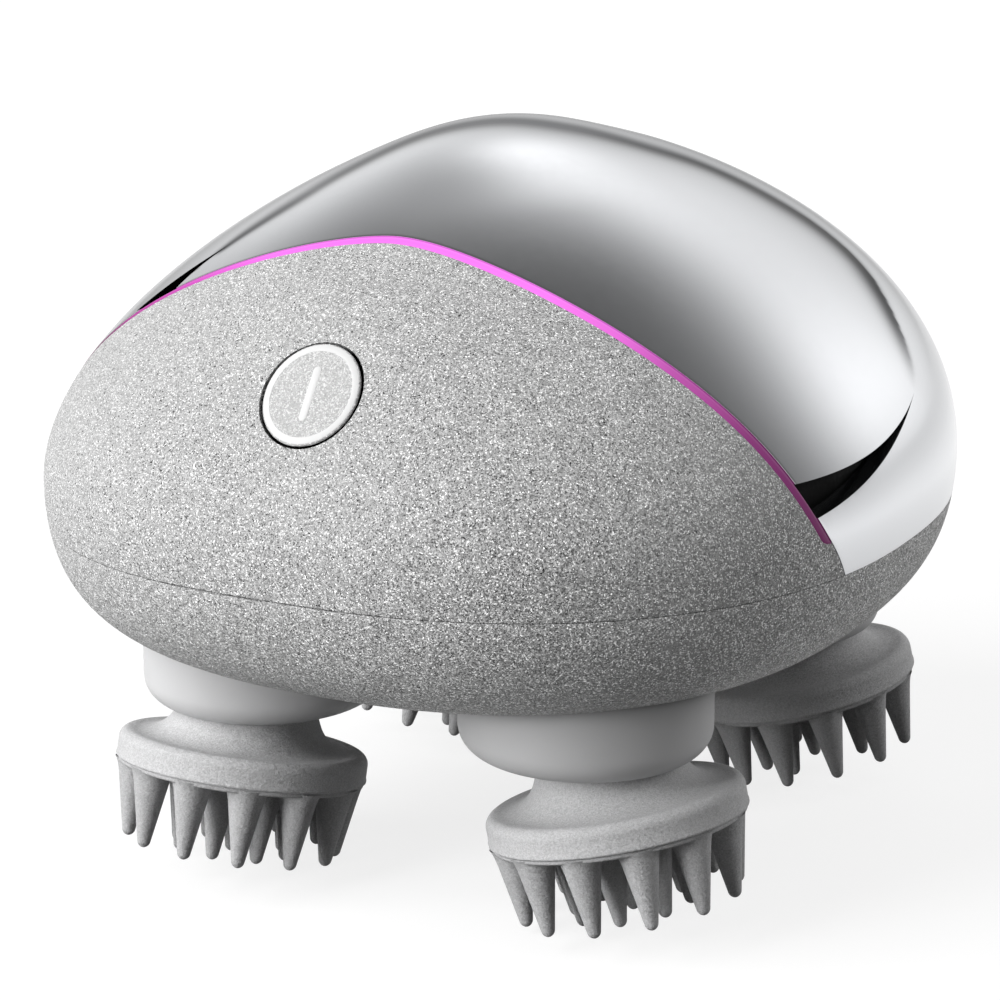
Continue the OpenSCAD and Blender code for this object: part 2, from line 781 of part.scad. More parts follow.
module drive_bracket() {
    x1 = leg_x + leg_t;
    foot = standoff_x + foot_out;
    y0 = worm_wall_y - worm_wall_t;
    leg_y0 = head_mid_y - leg_w / 2;
    leg_y1 = head_mid_y + leg_w / 2;
    wall_x = motor_r + 1;
    color("dimgray") lift() difference() {
        union() {
            block(-x1, x1, y0, motor_y, bridge_z, bridge_top);
            for (side = [0, 1]) mirror([side, 0, 0]) {
                block(leg_x, x1, leg_y0, leg_y1, plate_top, bridge_top);
                block(leg_x, foot, leg_y0, leg_y1, plate_top, plate_top + bridge_t);
            }
            block(-worm_wall_w / 2, worm_wall_w / 2, y0, worm_wall_y,
                  worm_z - worm_wall_w / 2, bridge_top);
            block(-wall_x, wall_x, motor_wall_y, motor_y, plate_top + motor_lift, bridge_top);
            at_places(board_posts) rod(board_post_r, bridge_z, board_z);
        }
        at_places(axle_places) hole(axle_r, bridge_z, bridge_top);
        at_places([standoffs[0], standoffs[1]])
            hole(screw_r + screw_play, plate_top, plate_top + bridge_t);
        along_y(0, y0 - over, worm_wall_y + over, worm_z, shaft_r + bush_t);
        along_y(0, motor_wall_y - over, motor_y + over, worm_z, motor_boss_r + motor_fit);
        for (x = [-1, 1])
            along_y(x * motor_screw_x, motor_wall_y - over, motor_y + over, worm_z, screw_r);
        at_places(board_posts) rod(board_screw_r, bridge_top - over, board_z + over);
    }
}

module motor_can() {
    color("silver") lift() difference() {
        union() {
            along_y(0, motor_y, motor_y + motor_l, worm_z, motor_r);
            along_y(0, motor_wall_y, motor_y + over, worm_z, motor_boss_r);
        }
        along_y(0, motor_wall_y - over, motor_y + motor_l / 2 + over, worm_z, shaft_r + run_gap);
        for (x = [-1, 1])
            along_y(x * motor_screw_x, motor_y - over, motor_y + motor_screw_bite, worm_z, screw_r);
    }
}

endcap_in = 0.6;
endcap_t = 1.4;
tag = [2, 1.2, 0.8];
tag_x = 5;
module motor_endcap() {
    y0 = motor_y + motor_l;
    y1 = y0 + endcap_t;
    color("black") lift() union() {
        along_y(0, y0, y1, worm_z, motor_r - endcap_in);
        for (x = [-tag_x, tag_x])
            block(x - tag[0] / 2, x + tag[0] / 2, y1 - touch, y1 + tag[1],
                  worm_z - tag[2] / 2, worm_z + tag[2] / 2);
    }
}

module motor_screws() {
    color("gray") lift() for (x = [-1, 1]) translate([x * motor_screw_x, motor_wall_y, worm_z])
        rotate([90, 0, 0]) screw(screw_r, motor_wall_t + motor_screw_bite);
}

cell_y = head_y(0) + 1;
cell_gap = 1.2;
cell_z = plate_top + cell_gap + cell_r;
nub_r = 2.5;
nub_l = 1.2;
module battery_cell() {
    color("royalblue") lift() translate([-cell_l / 2, cell_y, cell_z]) rotate([0, 90, 0]) union() {
        cylinder(r = cell_r, h = cell_l);
        rod(nub_r, cell_l - touch, cell_l + nub_l);
    }
}

cradle_place = 0.3;
cradle_w = 8;
cradle_t = 1.4;
cradle_play = 0.1;
module battery_cradle() {
    reach = cell_r + cradle_t;
    color("white") lift() difference() {
        for (x = [-cradle_place, cradle_place] * cell_l)
            block(x - cradle_w / 2, x + cradle_w / 2, cell_y - reach, cell_y + reach,
                  plate_top, cell_z - 1);
        translate([-cell_l, cell_y, cell_z]) rotate([0, 90, 0])
            cylinder(r = cell_r + cradle_play, h = 2 * cell_l);
    }
}

tongue_w = 14;
tongue_y = cell_y + 2;
board_share = 0.45;
chip = [12, 9, 1.4];
plug = [6, 6, 2.4];
plug_x = 12;
module main_board() {
    half = board_size[0] / 2;
    y0 = head_mid_y - board_share * board_size[1];
    color("darkgreen") lift() difference() {
        union() {
            block(-half, half, y0, y0 + board_size[1], board_z, board_top);
            block(-tongue_w / 2, tongue_w / 2, tongue_y, y0 + over, board_z, board_top);
            translate([-chip[0] / 2, head_mid_y - chip[1] / 2, board_top - touch])
                cube(chip + [0, 0, touch]);
            translate([plug_x - plug[0] / 2, head_mid_y - plug[1] / 2, board_top - touch])
                cube(plug + [0, 0, touch]);
        }
        at_places(board_posts) hole(board_screw_r + head_play, board_z, board_top);
    }
}

module board_screws() {
    color("gray") lift() at_places(board_posts)
        translate([0, 0, board_top]) screw(board_screw_r, board_screw_l);
}

led_board_size = [12, 1, 6];
led = [2.4, 0.8, 2.4];
led_step = 4;
led_z = 2.6;
module led_board() {
    y0 = tongue_y + 1;
    color("white") lift() union() {
        translate([-led_board_size[0] / 2, y0, board_top]) cube(led_board_size);
        for (x = [-led_step, 0, led_step])
            block(x - led[0] / 2, x + led[0] / 2, y0 - led[1], y0 + touch,
                  board_top + led_z, board_top + led_z + led[2]);
    }
}

module charge_contacts() {
    color("gold") lift() at_places(contact_places)
        rod(contact_r, -bowl_d - pad_drop, base_t - bowl_d + contact_in);
}

module on_spindle(i) {
    translate([head_x(i), head_y(i), part_z]) children();
}

// Head frame: +Z runs down the tilted axis from the pivot inside the hub, +X is the low side
module on_head(i) {
    on_spindle(i) translate([0, 0, -pivot_d]) rotate([0, 0, head_leans[i]])
        rotate([0, 180 - head_tilt, 0]) children();
}

module output_gear(i) {
    color("ivory") on_spindle(i) difference() {
        union() {
            translate([0, 0, gear_z]) rotate([0, 0, mesh_phase(i)])
                linear_extrude(gear_t) polygon(gear_outline(gear_module, output_teeth, backlash));
            rod(flange_r, roof_top + flange_t + face_gap, plate_z - flange_t - face_gap);
        }
        rod(spindle_r, roof_top, plate_top);
    }
}

module spindle(i) {
    color("gray") on_spindle(i) rod(spindle_r, spindle_bottom, plate_top + spindle_over);
}

plug_top_u = 6.4;
plug_gap = 0.2;
plug_play = 0.05;
plug_r = 5;
turn_steps = 6;
module drive_hub(i) {
    edge = [for (k = [0 : turn_steps]) let (a = 90 * k / turn_steps)
        [hub_r - hub_round * (1 - sin(a)), -hub_d + hub_round * (1 - cos(a))]];
    color("lightgray") difference() {
        on_spindle(i) rotate_extrude($fn = 64)
            polygon(concat([[0, hub_top], [0, -hub_d]], edge, [[hub_r, hub_top]]));
        on_spindle(i) rod(spindle_r, spindle_bottom, 0);
        on_head(i) rod(plug_r + plug_play, plug_top_u, plug_top_u + hub_d);
    }
}

// Head: a plug in the hub, a neck that flares out, and a rim
rim_round = 1.3;
rim_edge = 0.4;
neck_in = 1;
flare_steps = 8;
flare_out = 1.6;
flare_gap = 0.8;
module massage_head(i) {
    top = rim_u - rim_t;
    neck_u = (hub_d - pivot_d) / cos(head_tilt) - neck_r * tan(head_tilt) - neck_in;
    reach = head_r - rim_round;
    flare = [for (k = [0 : flare_steps]) let (t = k / flare_steps)
        [bezier(t, neck_r, neck_r, neck_r + flare_out, reach - flare_gap),
         bezier(t, neck_u, top - 1, top, top)]];
    turn = [for (k = [0 : turn_steps]) let (a = 90 * k / turn_steps)
        [reach + rim_round * sin(a), top + rim_round * (1 - cos(a))]];
    color("silver") difference() {
        on_head(i) union() {
            rotate_extrude($fn = 64)
                polygon(concat([[0, rim_u], [0, neck_u]], flare, turn,
                               [[head_r, rim_u - rim_edge], [head_r - rim_edge, rim_u]]));
            rod(plug_r, plug_top_u + plug_gap, neck_u + plug_top_u);
        }
        difference() {
            on_spindle(i) translate([-2 * head_r, -2 * head_r, -hub_d])
                cube([4 * head_r, 4 * head_r, hub_d]);
            on_head(i) rod(plug_r, 0, 2 * hub_d);
        }
    }
}

pad_in = 0.3;
finger_root = 0.4;
module finger(l) {
    $fn = 24;
    translate([0, 0, rim_u + pad_t - finger_root]) union() {
        cylinder(r1 = finger_r, r2 = tip_r, h = l + finger_root - tip_r);
        translate([0, 0, l + finger_root - tip_r]) sphere(r = tip_r);
    }
}

module finger_ring(count, r, l) {
    for (k = [0 : count - 1]) rotate([0, 0, 360 * (k + 0.5) / count]) translate([r, 0, 0]) finger(l);
}

module finger_pad(i) {
    color("darkgray") on_head(i) union() {
        translate([0, 0, rim_u]) cylinder(r = head_r - pad_in, h = pad_t, $fn = 64);
        finger_ring(outer_fingers, outer_ring, finger_l);
        finger_ring(inner_fingers, inner_ring, finger_l + inner_extra);
        finger(finger_l + inner_extra);
    }
}

base_casing();
inner_shell();
front_panel();
chrome_cover();
light_strip();
casing_gasket();
button_cap();
button_ring();
button_mark();
button_board();
tact_switch();
gear_plate();
plate_screws();
casing_screws();
lower_bushes();
upper_bushes();
shaft_seals();
gear_axles();
left_drive_gear();
right_drive_gear();
worm();
motor_shaft();
worm_bush();
drive_bracket();
motor_can();
motor_endcap();
motor_screws();
battery_cell();
battery_cradle();
main_board();
board_screws();
led_board();
charge_contacts();
output_gear(0);  // output_gear_front_left
output_gear(1);  // output_gear_front_right
output_gear(2);  // output_gear_rear_right
output_gear(3);  // output_gear_rear_left
spindle(0);  // spindle_front_left
spindle(1);  // spindle_front_right
spindle(2);  // spindle_rear_right
spindle(3);  // spindle_rear_left
drive_hub(0);  // drive_hub_front_left
drive_hub(1);  // drive_hub_front_right
drive_hub(2);  // drive_hub_rear_right
drive_hub(3);  // drive_hub_rear_left
massage_head(0);  // massage_head_front_left
massage_head(1);  // massage_head_front_right
massage_head(2);  // massage_head_rear_right
massage_head(3);  // massage_head_rear_left
finger_pad(0);  // finger_pad_front_left
finger_pad(1);  // finger_pad_front_right
finger_pad(2);  // finger_pad_rear_right
finger_pad(3);  // finger_pad_rear_left
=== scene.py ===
import json
import math

import bmesh
import bpy
import numpy as np
from mathutils import Matrix, Vector


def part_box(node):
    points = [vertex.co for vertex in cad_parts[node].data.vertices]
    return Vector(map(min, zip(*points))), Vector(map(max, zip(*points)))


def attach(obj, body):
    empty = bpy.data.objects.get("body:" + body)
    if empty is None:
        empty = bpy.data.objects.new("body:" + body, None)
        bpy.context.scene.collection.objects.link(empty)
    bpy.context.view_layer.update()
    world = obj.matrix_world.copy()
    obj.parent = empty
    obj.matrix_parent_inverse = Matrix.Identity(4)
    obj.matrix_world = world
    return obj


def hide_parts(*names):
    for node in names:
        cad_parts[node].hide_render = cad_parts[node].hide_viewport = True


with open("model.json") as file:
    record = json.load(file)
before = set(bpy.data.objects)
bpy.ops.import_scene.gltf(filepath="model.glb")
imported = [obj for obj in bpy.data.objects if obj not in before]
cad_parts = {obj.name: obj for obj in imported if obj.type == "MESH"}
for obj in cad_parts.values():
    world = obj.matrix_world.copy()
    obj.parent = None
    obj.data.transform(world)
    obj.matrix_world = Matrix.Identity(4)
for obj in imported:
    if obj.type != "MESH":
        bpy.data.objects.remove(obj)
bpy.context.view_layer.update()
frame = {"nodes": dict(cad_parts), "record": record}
mm = 0.001
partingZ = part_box("front_panel")[0].z  # level of the parting line in metres
print("frame loaded, parting line at", round(partingZ / mm, 2), "mm")


def overParting(p):
    return Vector((p[0] * mm, p[1] * mm, p[2] * mm + partingZ))


def standing(name, data):
    thing = bpy.data.objects.new(name, data)
    bpy.context.scene.collection.objects.link(thing)
    return thing


def aimed(name, data, spot, target):
    thing = standing(name, data)
    thing.location = spot
    thing.rotation_mode = "QUATERNION"
    thing.rotation_quaternion = (target - thing.location).to_track_quat("-Z", "Y")
    return thing


# camera at the photograph's angle
cameraFit = {"place": (153.28, -303.53, 85.83), "target": (-0.873, -2.804, -1.405), "lens": 101.33,
             "sensor": 36, "near": 0.01, "far": 20}
cameraData = bpy.data.cameras.new("photoCamera")
cameraData.lens = cameraFit["lens"]
cameraData.sensor_width = cameraFit["sensor"]
cameraData.clip_start = cameraFit["near"]
cameraData.clip_end = cameraFit["far"]
bpy.context.scene.camera = aimed("photoCamera", cameraData, overParting(cameraFit["place"]),
                                 overParting(cameraFit["target"]))

# pebble skin, millimetres from the parting line
body = {"width": 105.0, "front": 55.2, "rear": 62.0, "power": 2.33, "dome": 46.2, "waist": 4.4, "bowl": 17.5,
        "bowlFlat": 0.66, "shoulder": (0.45, 0.71), "crown": (0.19, 0.28), "wall": 2.0, "topCap": (9.0, 25.0)}
waistY = (body["front"] - body["rear"]) / 2
halvings = 44  # rounds of a search by halving


def bezier(t, a, b, c, d):
    return (1 - t) ** 3 * a + 3 * (1 - t) ** 2 * t * b + 3 * (1 - t) * t * t * c + t ** 3 * d


def smooth(x, low, high):
    s = np.clip((x - low) / (high - low), 0, 1)
    return s * s * (3 - 2 * s)


def planRadius(a):
    length = np.where(np.cos(a) > 0, body["front"], body["rear"])
    side = np.abs(np.sin(a)) / (body["width"] / 2)
    along = np.abs(np.cos(a)) / length
    return (side ** body["power"] + along ** body["power"]) ** (-1 / body["power"])


def fromFront(pair, a):
    return pair[1] + (pair[0] - pair[1]) * (1 + np.cos(a)) / 2


def rawSkin(a, v):
    # a is the angle from the front, v runs from -1 at the bottom over 0 at the widest level to 1 at the top
    a, v = np.broadcast_arrays(np.asarray(a, float), np.asarray(v, float))
    up = np.clip(v, 0, 1)
    down = np.clip(-v, 0, 1)
    h = body["dome"] - body["waist"]
    domeShare = bezier(up, 1, 1, fromFront(body["crown"], a), 0)
    bowlShare = bezier(down, 1, 1, body["bowlFlat"], 0)
    high = body["waist"] + bezier(up, 0, fromFront(body["shoulder"], a) * h, h, h)
    low = body["waist"] - (body["waist"] + body["bowl"]) * (1 - (1 - down) ** 3)
    r = np.where(v >= 0, domeShare, bowlShare) * planRadius(a)
    return np.stack([r * np.sin(a), waistY - r * np.cos(a), np.where(v >= 0, high, low)], -1)


# a fair cap takes the place of the point where all meridians meet
capFit = {"scale": 20, "columns": 120, "rows": 40, "low": 0.55, "high": 0.97, "hole": 4}


def powers(x, y):
    x = x / capFit["scale"]
    y = (y - waistY) / capFit["scale"]
    return np.stack([x ** i * y ** j for i in (0, 2, 4) for j in range(5 - i)], -1)


ringA, ringV = np.meshgrid(np.linspace(0, 2 * np.pi, capFit["columns"], endpoint=False),
                           np.linspace(capFit["low"], capFit["high"], capFit["rows"]))
capPoints = rawSkin(ringA, ringV).reshape(-1, 3)
capReach = np.hypot(capPoints[:, 0], capPoints[:, 1] - waistY)
capPoints = capPoints[(capReach > capFit["hole"]) & (capReach < body["topCap"][1])]
capTerms = np.linalg.lstsq(powers(capPoints[:, 0], capPoints[:, 1]), capPoints[:, 2], rcond=None)[0]


def skin(a, v):
    p = rawSkin(a, v)
    reach = np.hypot(p[..., 0], p[..., 1] - waistY)
    share = (1 - smooth(reach, *body["topCap"])) * (np.asarray(v) > 0)
    p[..., 2] += share * (powers(p[..., 0], p[..., 1]) @ capTerms - p[..., 2])
    return p


def skinNormal(a, v):
    a, v = np.broadcast_arrays(np.asarray(a, float), np.asarray(v, float))
    step, tiny = 1e-4, 1e-12
    n = np.cross(skin(a + step, v) - skin(a - step, v), skin(a, v + step) - skin(a, v - step))
    size = np.linalg.norm(n, axis=-1, keepdims=True)
    return np.where(size > tiny, n / np.maximum(size, tiny), [0, 0, 1])


def inward(a, v, depth):
    return skin(a, v) - skinNormal(a, v) * np.asarray(depth)[..., None]


def halved(low, high, isUnder):
    # the place between low and high where a test turns
    for _ in range(halvings):
        middle = (low + high) / 2
        under = isUnder(middle)
        low = np.where(under, middle, low)
        high = np.where(under, high, middle)
    return (low + high) / 2


def levelShare(z):
    # v at a height below the widest level
    return -(1 - (1 - (body["waist"] - z) / (body["waist"] + body["bowl"])) ** (1 / 3))


def heightShare(a, z):
    # v on the dome or bowl where the meridian at a reaches height z
    return halved(np.full(np.shape(a), -1.0), np.full(np.shape(a), 1.0), lambda v: skin(a, v)[..., 2] < z)


def frontShare(x, z):
    # (a, v) of the skin's front point seen at x, z
    a = halved(np.zeros(np.shape(x)), np.full(np.shape(x), np.pi / 2),
               lambda turn: skin(turn, heightShare(turn, z))[..., 0] < np.abs(x))
    return a * np.sign(x), heightShare(a, z)


def topShare(x, y):
    # (a, v) of the dome point over x, y
    a = np.arctan2(x, waistY - y)
    reach = np.hypot(x, y - waistY) / planRadius(a)
    crown = fromFront(body["crown"], a)
    return a, halved(np.zeros_like(a), np.ones_like(a), lambda v: bezier(v, 1, 1, crown, 0) > reach)


# mesh helpers
meshing = {"merge": 2e-6, "thin": 1e-7, "sharp": 35, "headSharp": 50}  # metres and degrees


def meshOf(name, points, faces, lift=0):
    mesh = bpy.data.meshes.new(name)
    mesh.from_pydata([(p[0] * mm, p[1] * mm, p[2] * mm + lift) for p in points], [], faces)
    return mesh


def onlyMaterial(mesh, material):
    mesh.materials.clear()
    mesh.materials.append(material)


def shadeSmooth(mesh, angle):
    mesh.polygons.foreach_set("use_smooth", [True] * len(mesh.polygons))
    mesh.set_sharp_from_angle(angle=math.radians(angle))


def finishMesh(name, mesh, material, angle=meshing["sharp"]):
    work = bmesh.new()
    work.from_mesh(mesh)
    bmesh.ops.remove_doubles(work, verts=work.verts, dist=meshing["merge"])
    bmesh.ops.dissolve_degenerate(work, edges=work.edges, dist=meshing["thin"])
    bmesh.ops.recalc_face_normals(work, faces=work.faces)
    work.to_mesh(mesh)
    work.free()
    shadeSmooth(mesh, angle)
    onlyMaterial(mesh, material)
    return standing(name, mesh)


def newPiece(name, points, faces, material):
    return finishMesh(name, meshOf(name, points, faces, partingZ), material)


def inFrame(name, mesh, matrix, material, angle=meshing["sharp"]):
    mesh.transform(matrix)
    return finishMesh(name, mesh, material, angle)


def upright(x, y):
    return Matrix.Translation(overParting((x, y, 0)))


def gridFaces(rows, columns, closeRows, closeColumns):
    faces = []
    for i in range(rows if closeRows else rows - 1):
        for j in range(columns if closeColumns else columns - 1):
            k, m = (i + 1) % rows, (j + 1) % columns
            faces.append((i * columns + j, i * columns + m, k * columns + m, k * columns + j))
    return faces


def loopPiece(name, rows, material):
    # rows run round a closed cross-section, columns run along the piece, and both ends are capped
    rows = np.asarray(rows)
    count, columns = rows.shape[:2]
    faces = gridFaces(count, columns, True, False)
    faces.append([i * columns for i in range(count)])
    faces.append([i * columns + columns - 1 for i in range(count)])
    return newPiece(name, rows.reshape(-1, 3), faces, material)


def domePiece(name, rows, material):
    # rows run from the inner pole to the rim and on to the outer pole, columns go once round
    rows = np.asarray(rows)
    count, columns = rows.shape[:2]
    points = np.concatenate([rows.reshape(-1, 3), rows[0].mean(0)[None], rows[-1].mean(0)[None]])
    faces = gridFaces(count, columns, False, True)
    last = (count - 1) * columns
    for j in range(columns):
        k = (j + 1) % columns
        faces.append((j, k, count * columns))
        faces.append((last + j, last + k, count * columns + 1))
    return newPiece(name, points, faces, material)


def latheMesh(name, profile, steps=96):
    # profile is a list of (radius, height) from axis to axis
    points = [(0, 0, profile[0][1]), (0, 0, profile[-1][1])]
    middle = profile[1:-1]
    for r, z in middle:
        for k in range(steps):
            angle = 2 * math.pi * k / steps
            points.append((r * math.cos(angle), r * math.sin(angle), z))
    faces = [tuple(2 + f for f in face) for face in gridFaces(len(middle), steps, False, True)]
    last = 2 + (len(middle) - 1) * steps
    for k in range(steps):
        m = (k + 1) % steps
        faces.append((0, 2 + k, 2 + m))
        faces.append((1, last + k, last + m))
    return meshOf(name, points, faces)


def arc(cx, cy, r, start, end, steps):
    turns = [math.radians(start + (end - start) * k / steps) for k in range(steps + 1)]
    return [(cx + r * math.cos(turn), cy + r * math.sin(turn)) for turn in turns]


def curve3(a, b, c, steps):
    t = np.linspace(0, 1, steps + 1)[:, None]
    points = (1 - t) ** 2 * np.array(a) + 2 * (1 - t) * t * np.array(b) + t * t * np.array(c)
    return [tuple(p) for p in points]


def splinePoints(controls, steps):
    # a curve through all the control points
    p = np.array(controls, float)
    p = np.vstack([2 * p[0] - p[1], p, 2 * p[-1] - p[-2]])
    t = np.linspace(0, 1, steps, endpoint=False)[:, None]
    out = []
    for a, b, c, d in zip(p, p[1:], p[2:], p[3:]):
        out.append(0.5 * (2 * b + (c - a) * t + (2 * a - 5 * b + 4 * c - d) * t ** 2
                          + (3 * b - a - 3 * c + d) * t ** 3))
    return np.vstack(out + [p[-2]])


def prismTool(name, outline, put, low, high):
    # outline in two axes, drawn out along the third
    count = len(outline)
    points = [put(u, w, level) for level in (low, high) for u, w in outline]
    faces = [list(range(count)), list(range(count, 2 * count))]
    faces += [(k, (k + 1) % count, count + (k + 1) % count, count + k) for k in range(count)]
    return newPiece(name, points, faces, plainMaterial)


def roundTool(name, matrix, r, low, high, steps):
    mesh = latheMesh(name, [(0, low), (r, low), (r, high), (0, high)], steps)
    return inFrame(name, mesh, matrix, plainMaterial)


def evaluatedMesh(piece):
    graph = bpy.context.evaluated_depsgraph_get()
    graph.update()
    return bpy.data.meshes.new_from_object(piece.evaluated_get(graph))


def cut(piece, *tools):
    # takes the tools out of the piece and removes them
    for tool in tools:
        step = piece.modifiers.new("cut", "BOOLEAN")
        step.operation = "DIFFERENCE"
        step.solver = "EXACT"
        step.object = tool
    mesh = evaluatedMesh(piece)
    onlyMaterial(mesh, piece.data.materials[0])
    piece.modifiers.clear()
    piece.data = mesh
    mesh.polygons.foreach_set("material_index", [0] * len(mesh.polygons))
    for tool in tools:
        bpy.data.objects.remove(tool)
    shadeSmooth(mesh, meshing["sharp"])


def vertexPlaces(piece):
    co = np.zeros(len(piece.data.vertices) * 3)
    piece.data.vertices.foreach_get("co", co)
    return co.reshape(-1, 3) / mm - [0, 0, partingZ / mm]


def markVertices(piece, name, values):
    piece.data.attributes.new(name, "FLOAT", "POINT").data.foreach_set("value", values)


def place(piece, bodyName, slotName, *nodes):
    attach(piece, bodyName)
    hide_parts(*nodes)


# material helpers
noiseSpan = (0.3, 0.7)  # most of a noise lies between these levels


def grey(level):
    return (level, level, level)


def newMaterial(name):
    material = bpy.data.materials.new(name)
    material.use_nodes = True
    return material, material.node_tree, material.node_tree.nodes["Principled BSDF"]


def plug(tree, socket, value):
    # gives a socket a number, a colour or another socket's value
    if isinstance(value, (int, float, tuple)):
        socket.default_value = value
    else:
        tree.links.new(value, socket)


def feed(tree, node, inputs):
    for name, value in inputs.items():
        plug(tree, node.inputs[name], value)


def wire(tree, kind, operation, *values):
    node = tree.nodes.new(kind)
    node.operation = operation
    for socket, value in zip(node.inputs, values):
        plug(tree, socket, value)
    return node.outputs["Value" if operation in ("LENGTH", "DOT_PRODUCT") else 0]


def maths(tree, operation, *values):
    return wire(tree, "ShaderNodeMath", operation, *values)


def vectorMaths(tree, operation, *values):
    return wire(tree, "ShaderNodeVectorMath", operation, *values)


def ramp(tree, factor, stops):
    node = tree.nodes.new("ShaderNodeValToRGB")
    items = node.color_ramp.elements
    while len(items) < len(stops):
        items.new(0.5)  # moved to its own place below
    for item, (at, colour) in zip(items, stops):
        item.position = at
        item.color = (*colour, 1)
    tree.links.new(factor, node.inputs["Fac"])
    return node.outputs["Color"]


def objectPlace(tree):
    return tree.nodes.new("ShaderNodeTexCoord").outputs["Object"]


def vertexLevel(tree, name):
    node = tree.nodes.new("ShaderNodeAttribute")
    node.attribute_name = name
    return node.outputs["Fac"]


def noise(tree, where, scale, detail):
    node = tree.nodes.new("ShaderNodeTexNoise")
    feed(tree, node, {"Vector": where, "Scale": scale, "Detail": detail})
    return node.outputs["Fac"]


def noiseRamp(tree, factor, first, second):
    return ramp(tree, factor, [(noiseSpan[0], first), (noiseSpan[1], second)])


def grainyRough(tree, factor, look):
    rough, swing = look["rough"], look["roughSwing"]
    return noiseRamp(tree, factor, grey(rough - swing), grey(rough + swing))


def bumped(tree, height, look):
    node = tree.nodes.new("ShaderNodeBump")
    feed(tree, node, {"Strength": look["bump"], "Distance": look["depth"] * mm, "Height": height})
    return node.outputs["Normal"]


def grains(tree, where, scale):
    # cells like grains of sand, and a number by chance for each
    cells = tree.nodes.new("ShaderNodeTexVoronoi")
    feed(tree, cells, {"Vector": where, "Scale": scale})
    split = tree.nodes.new("ShaderNodeSeparateColor")
    feed(tree, split, {"Color": cells.outputs["Color"]})
    return cells.outputs["Position"], split.outputs["Red"]


def facets(tree, cells, amount, normal):
    # leans the normal by chance in every grain, to either side
    chance = tree.nodes.new("ShaderNodeTexWhiteNoise")
    feed(tree, chance, {"Vector": cells})
    lean = vectorMaths(tree, "SUBTRACT", chance.outputs["Color"], grey(0.5))
    lean = vectorMaths(tree, "MULTIPLY", lean, amount)
    return vectorMaths(tree, "NORMALIZE", vectorMaths(tree, "ADD", normal, lean))


def solidFinish(name, ownLook):
    # cloudy colour, grain in roughness and a fine bump, all on object coordinates
    look = {**plainLook, **ownLook}
    material, tree, shader = newMaterial(name)
    where = objectPlace(tree)
    tone = np.array(look["colour"])
    cloud = noise(tree, where, look["cloud"], look["cloudDetail"])
    colour = noiseRamp(tree, cloud, tone * (1 - look["swing"]), tone * (1 + look["swing"]))
    grain = noise(tree, where, look["grain"], look["grainDetail"])
    normal = bumped(tree, grain, look)
    if "sand" in look:
        cells, chance = grains(tree, where, look["sandCells"])
        normal = facets(tree, cells, grey(look["sand"]), normal)
        speck = maths(tree, "MULTIPLY_ADD", chance, look["speck"], 1 - look["speck"] / 2)
        colour = vectorMaths(tree, "SCALE", colour)
        feed(tree, colour.node, {"Scale": speck})
    feed(tree, shader, {"Base Color": colour, "Roughness": grainyRough(tree, grain, look), "Normal": normal,
                        "Metallic": look["metal"], "Coat Weight": look["coat"],
                        "Specular IOR Level": look["shine"]})
    return material


def flakePaint(name, look):
    # silver paint: a fine sandy ground of grey grains with some bright flakes among them
    material, tree, shader = newMaterial(name)
    where = objectPlace(tree)
    cells, chance = grains(tree, where, look["cells"])
    first = 1 - look["share"]
    last = first + look["step"]

    def atFlakes(ground, flake):
        return ramp(tree, chance, [(first, grey(ground)), (last, grey(flake))])

    tones = [(0, grey(look["pit"])), (first, grey(look["ground"])), (last, grey(look["flake"]))]
    normal = bumped(tree, noise(tree, where, look["mottle"], look["mottleDetail"]), look)
    leans = atFlakes(look["lean"], look["flakeLean"])
    feed(tree, shader, {"Base Color": ramp(tree, chance, tones), "Metallic": atFlakes(0, look["metal"]),
                        "Roughness": atFlakes(look["rough"], look["flakeRough"]),
                        "Normal": facets(tree, cells, leans, normal), "Specular IOR Level": look["shine"]})
    return material


def platedMetal(name, look):
    # bright plating: fine cloudy roughness, with painted shade and a dimmed painted reflection along the
    # crease
    material, tree, shader = newMaterial(name)
    # the crease level says where shade is painted into the plating's colour and reflection
    valley = vertexLevel(tree, "crease")
    cloud = noise(tree, objectPlace(tree), look["cloud"], look["cloudDetail"])
    feed(tree, shader, {"Base Color": ramp(tree, valley, [(0, look["colour"]), (1, look["creaseShadeColour"])]),
                        "Specular Tint": ramp(tree, valley, [(0, grey(1)), (1, grey(look["creaseShadeTint"]))]),
                        "Roughness": grainyRough(tree, cloud, look), "Metallic": 1})
    return material


def glowGuide(name, look):
    # light guide, lit in the middle and dark towards its ends
    material, tree, shader = newMaterial(name)
    light = ramp(tree, vertexLevel(tree, "along"), look["light"])
    feed(tree, shader, {"Emission Color": light, "Emission Strength": look["strength"],
                        "Base Color": (*look["colour"], 1), "Roughness": look["rough"],
                        "Specular IOR Level": look["shine"]})
    return material


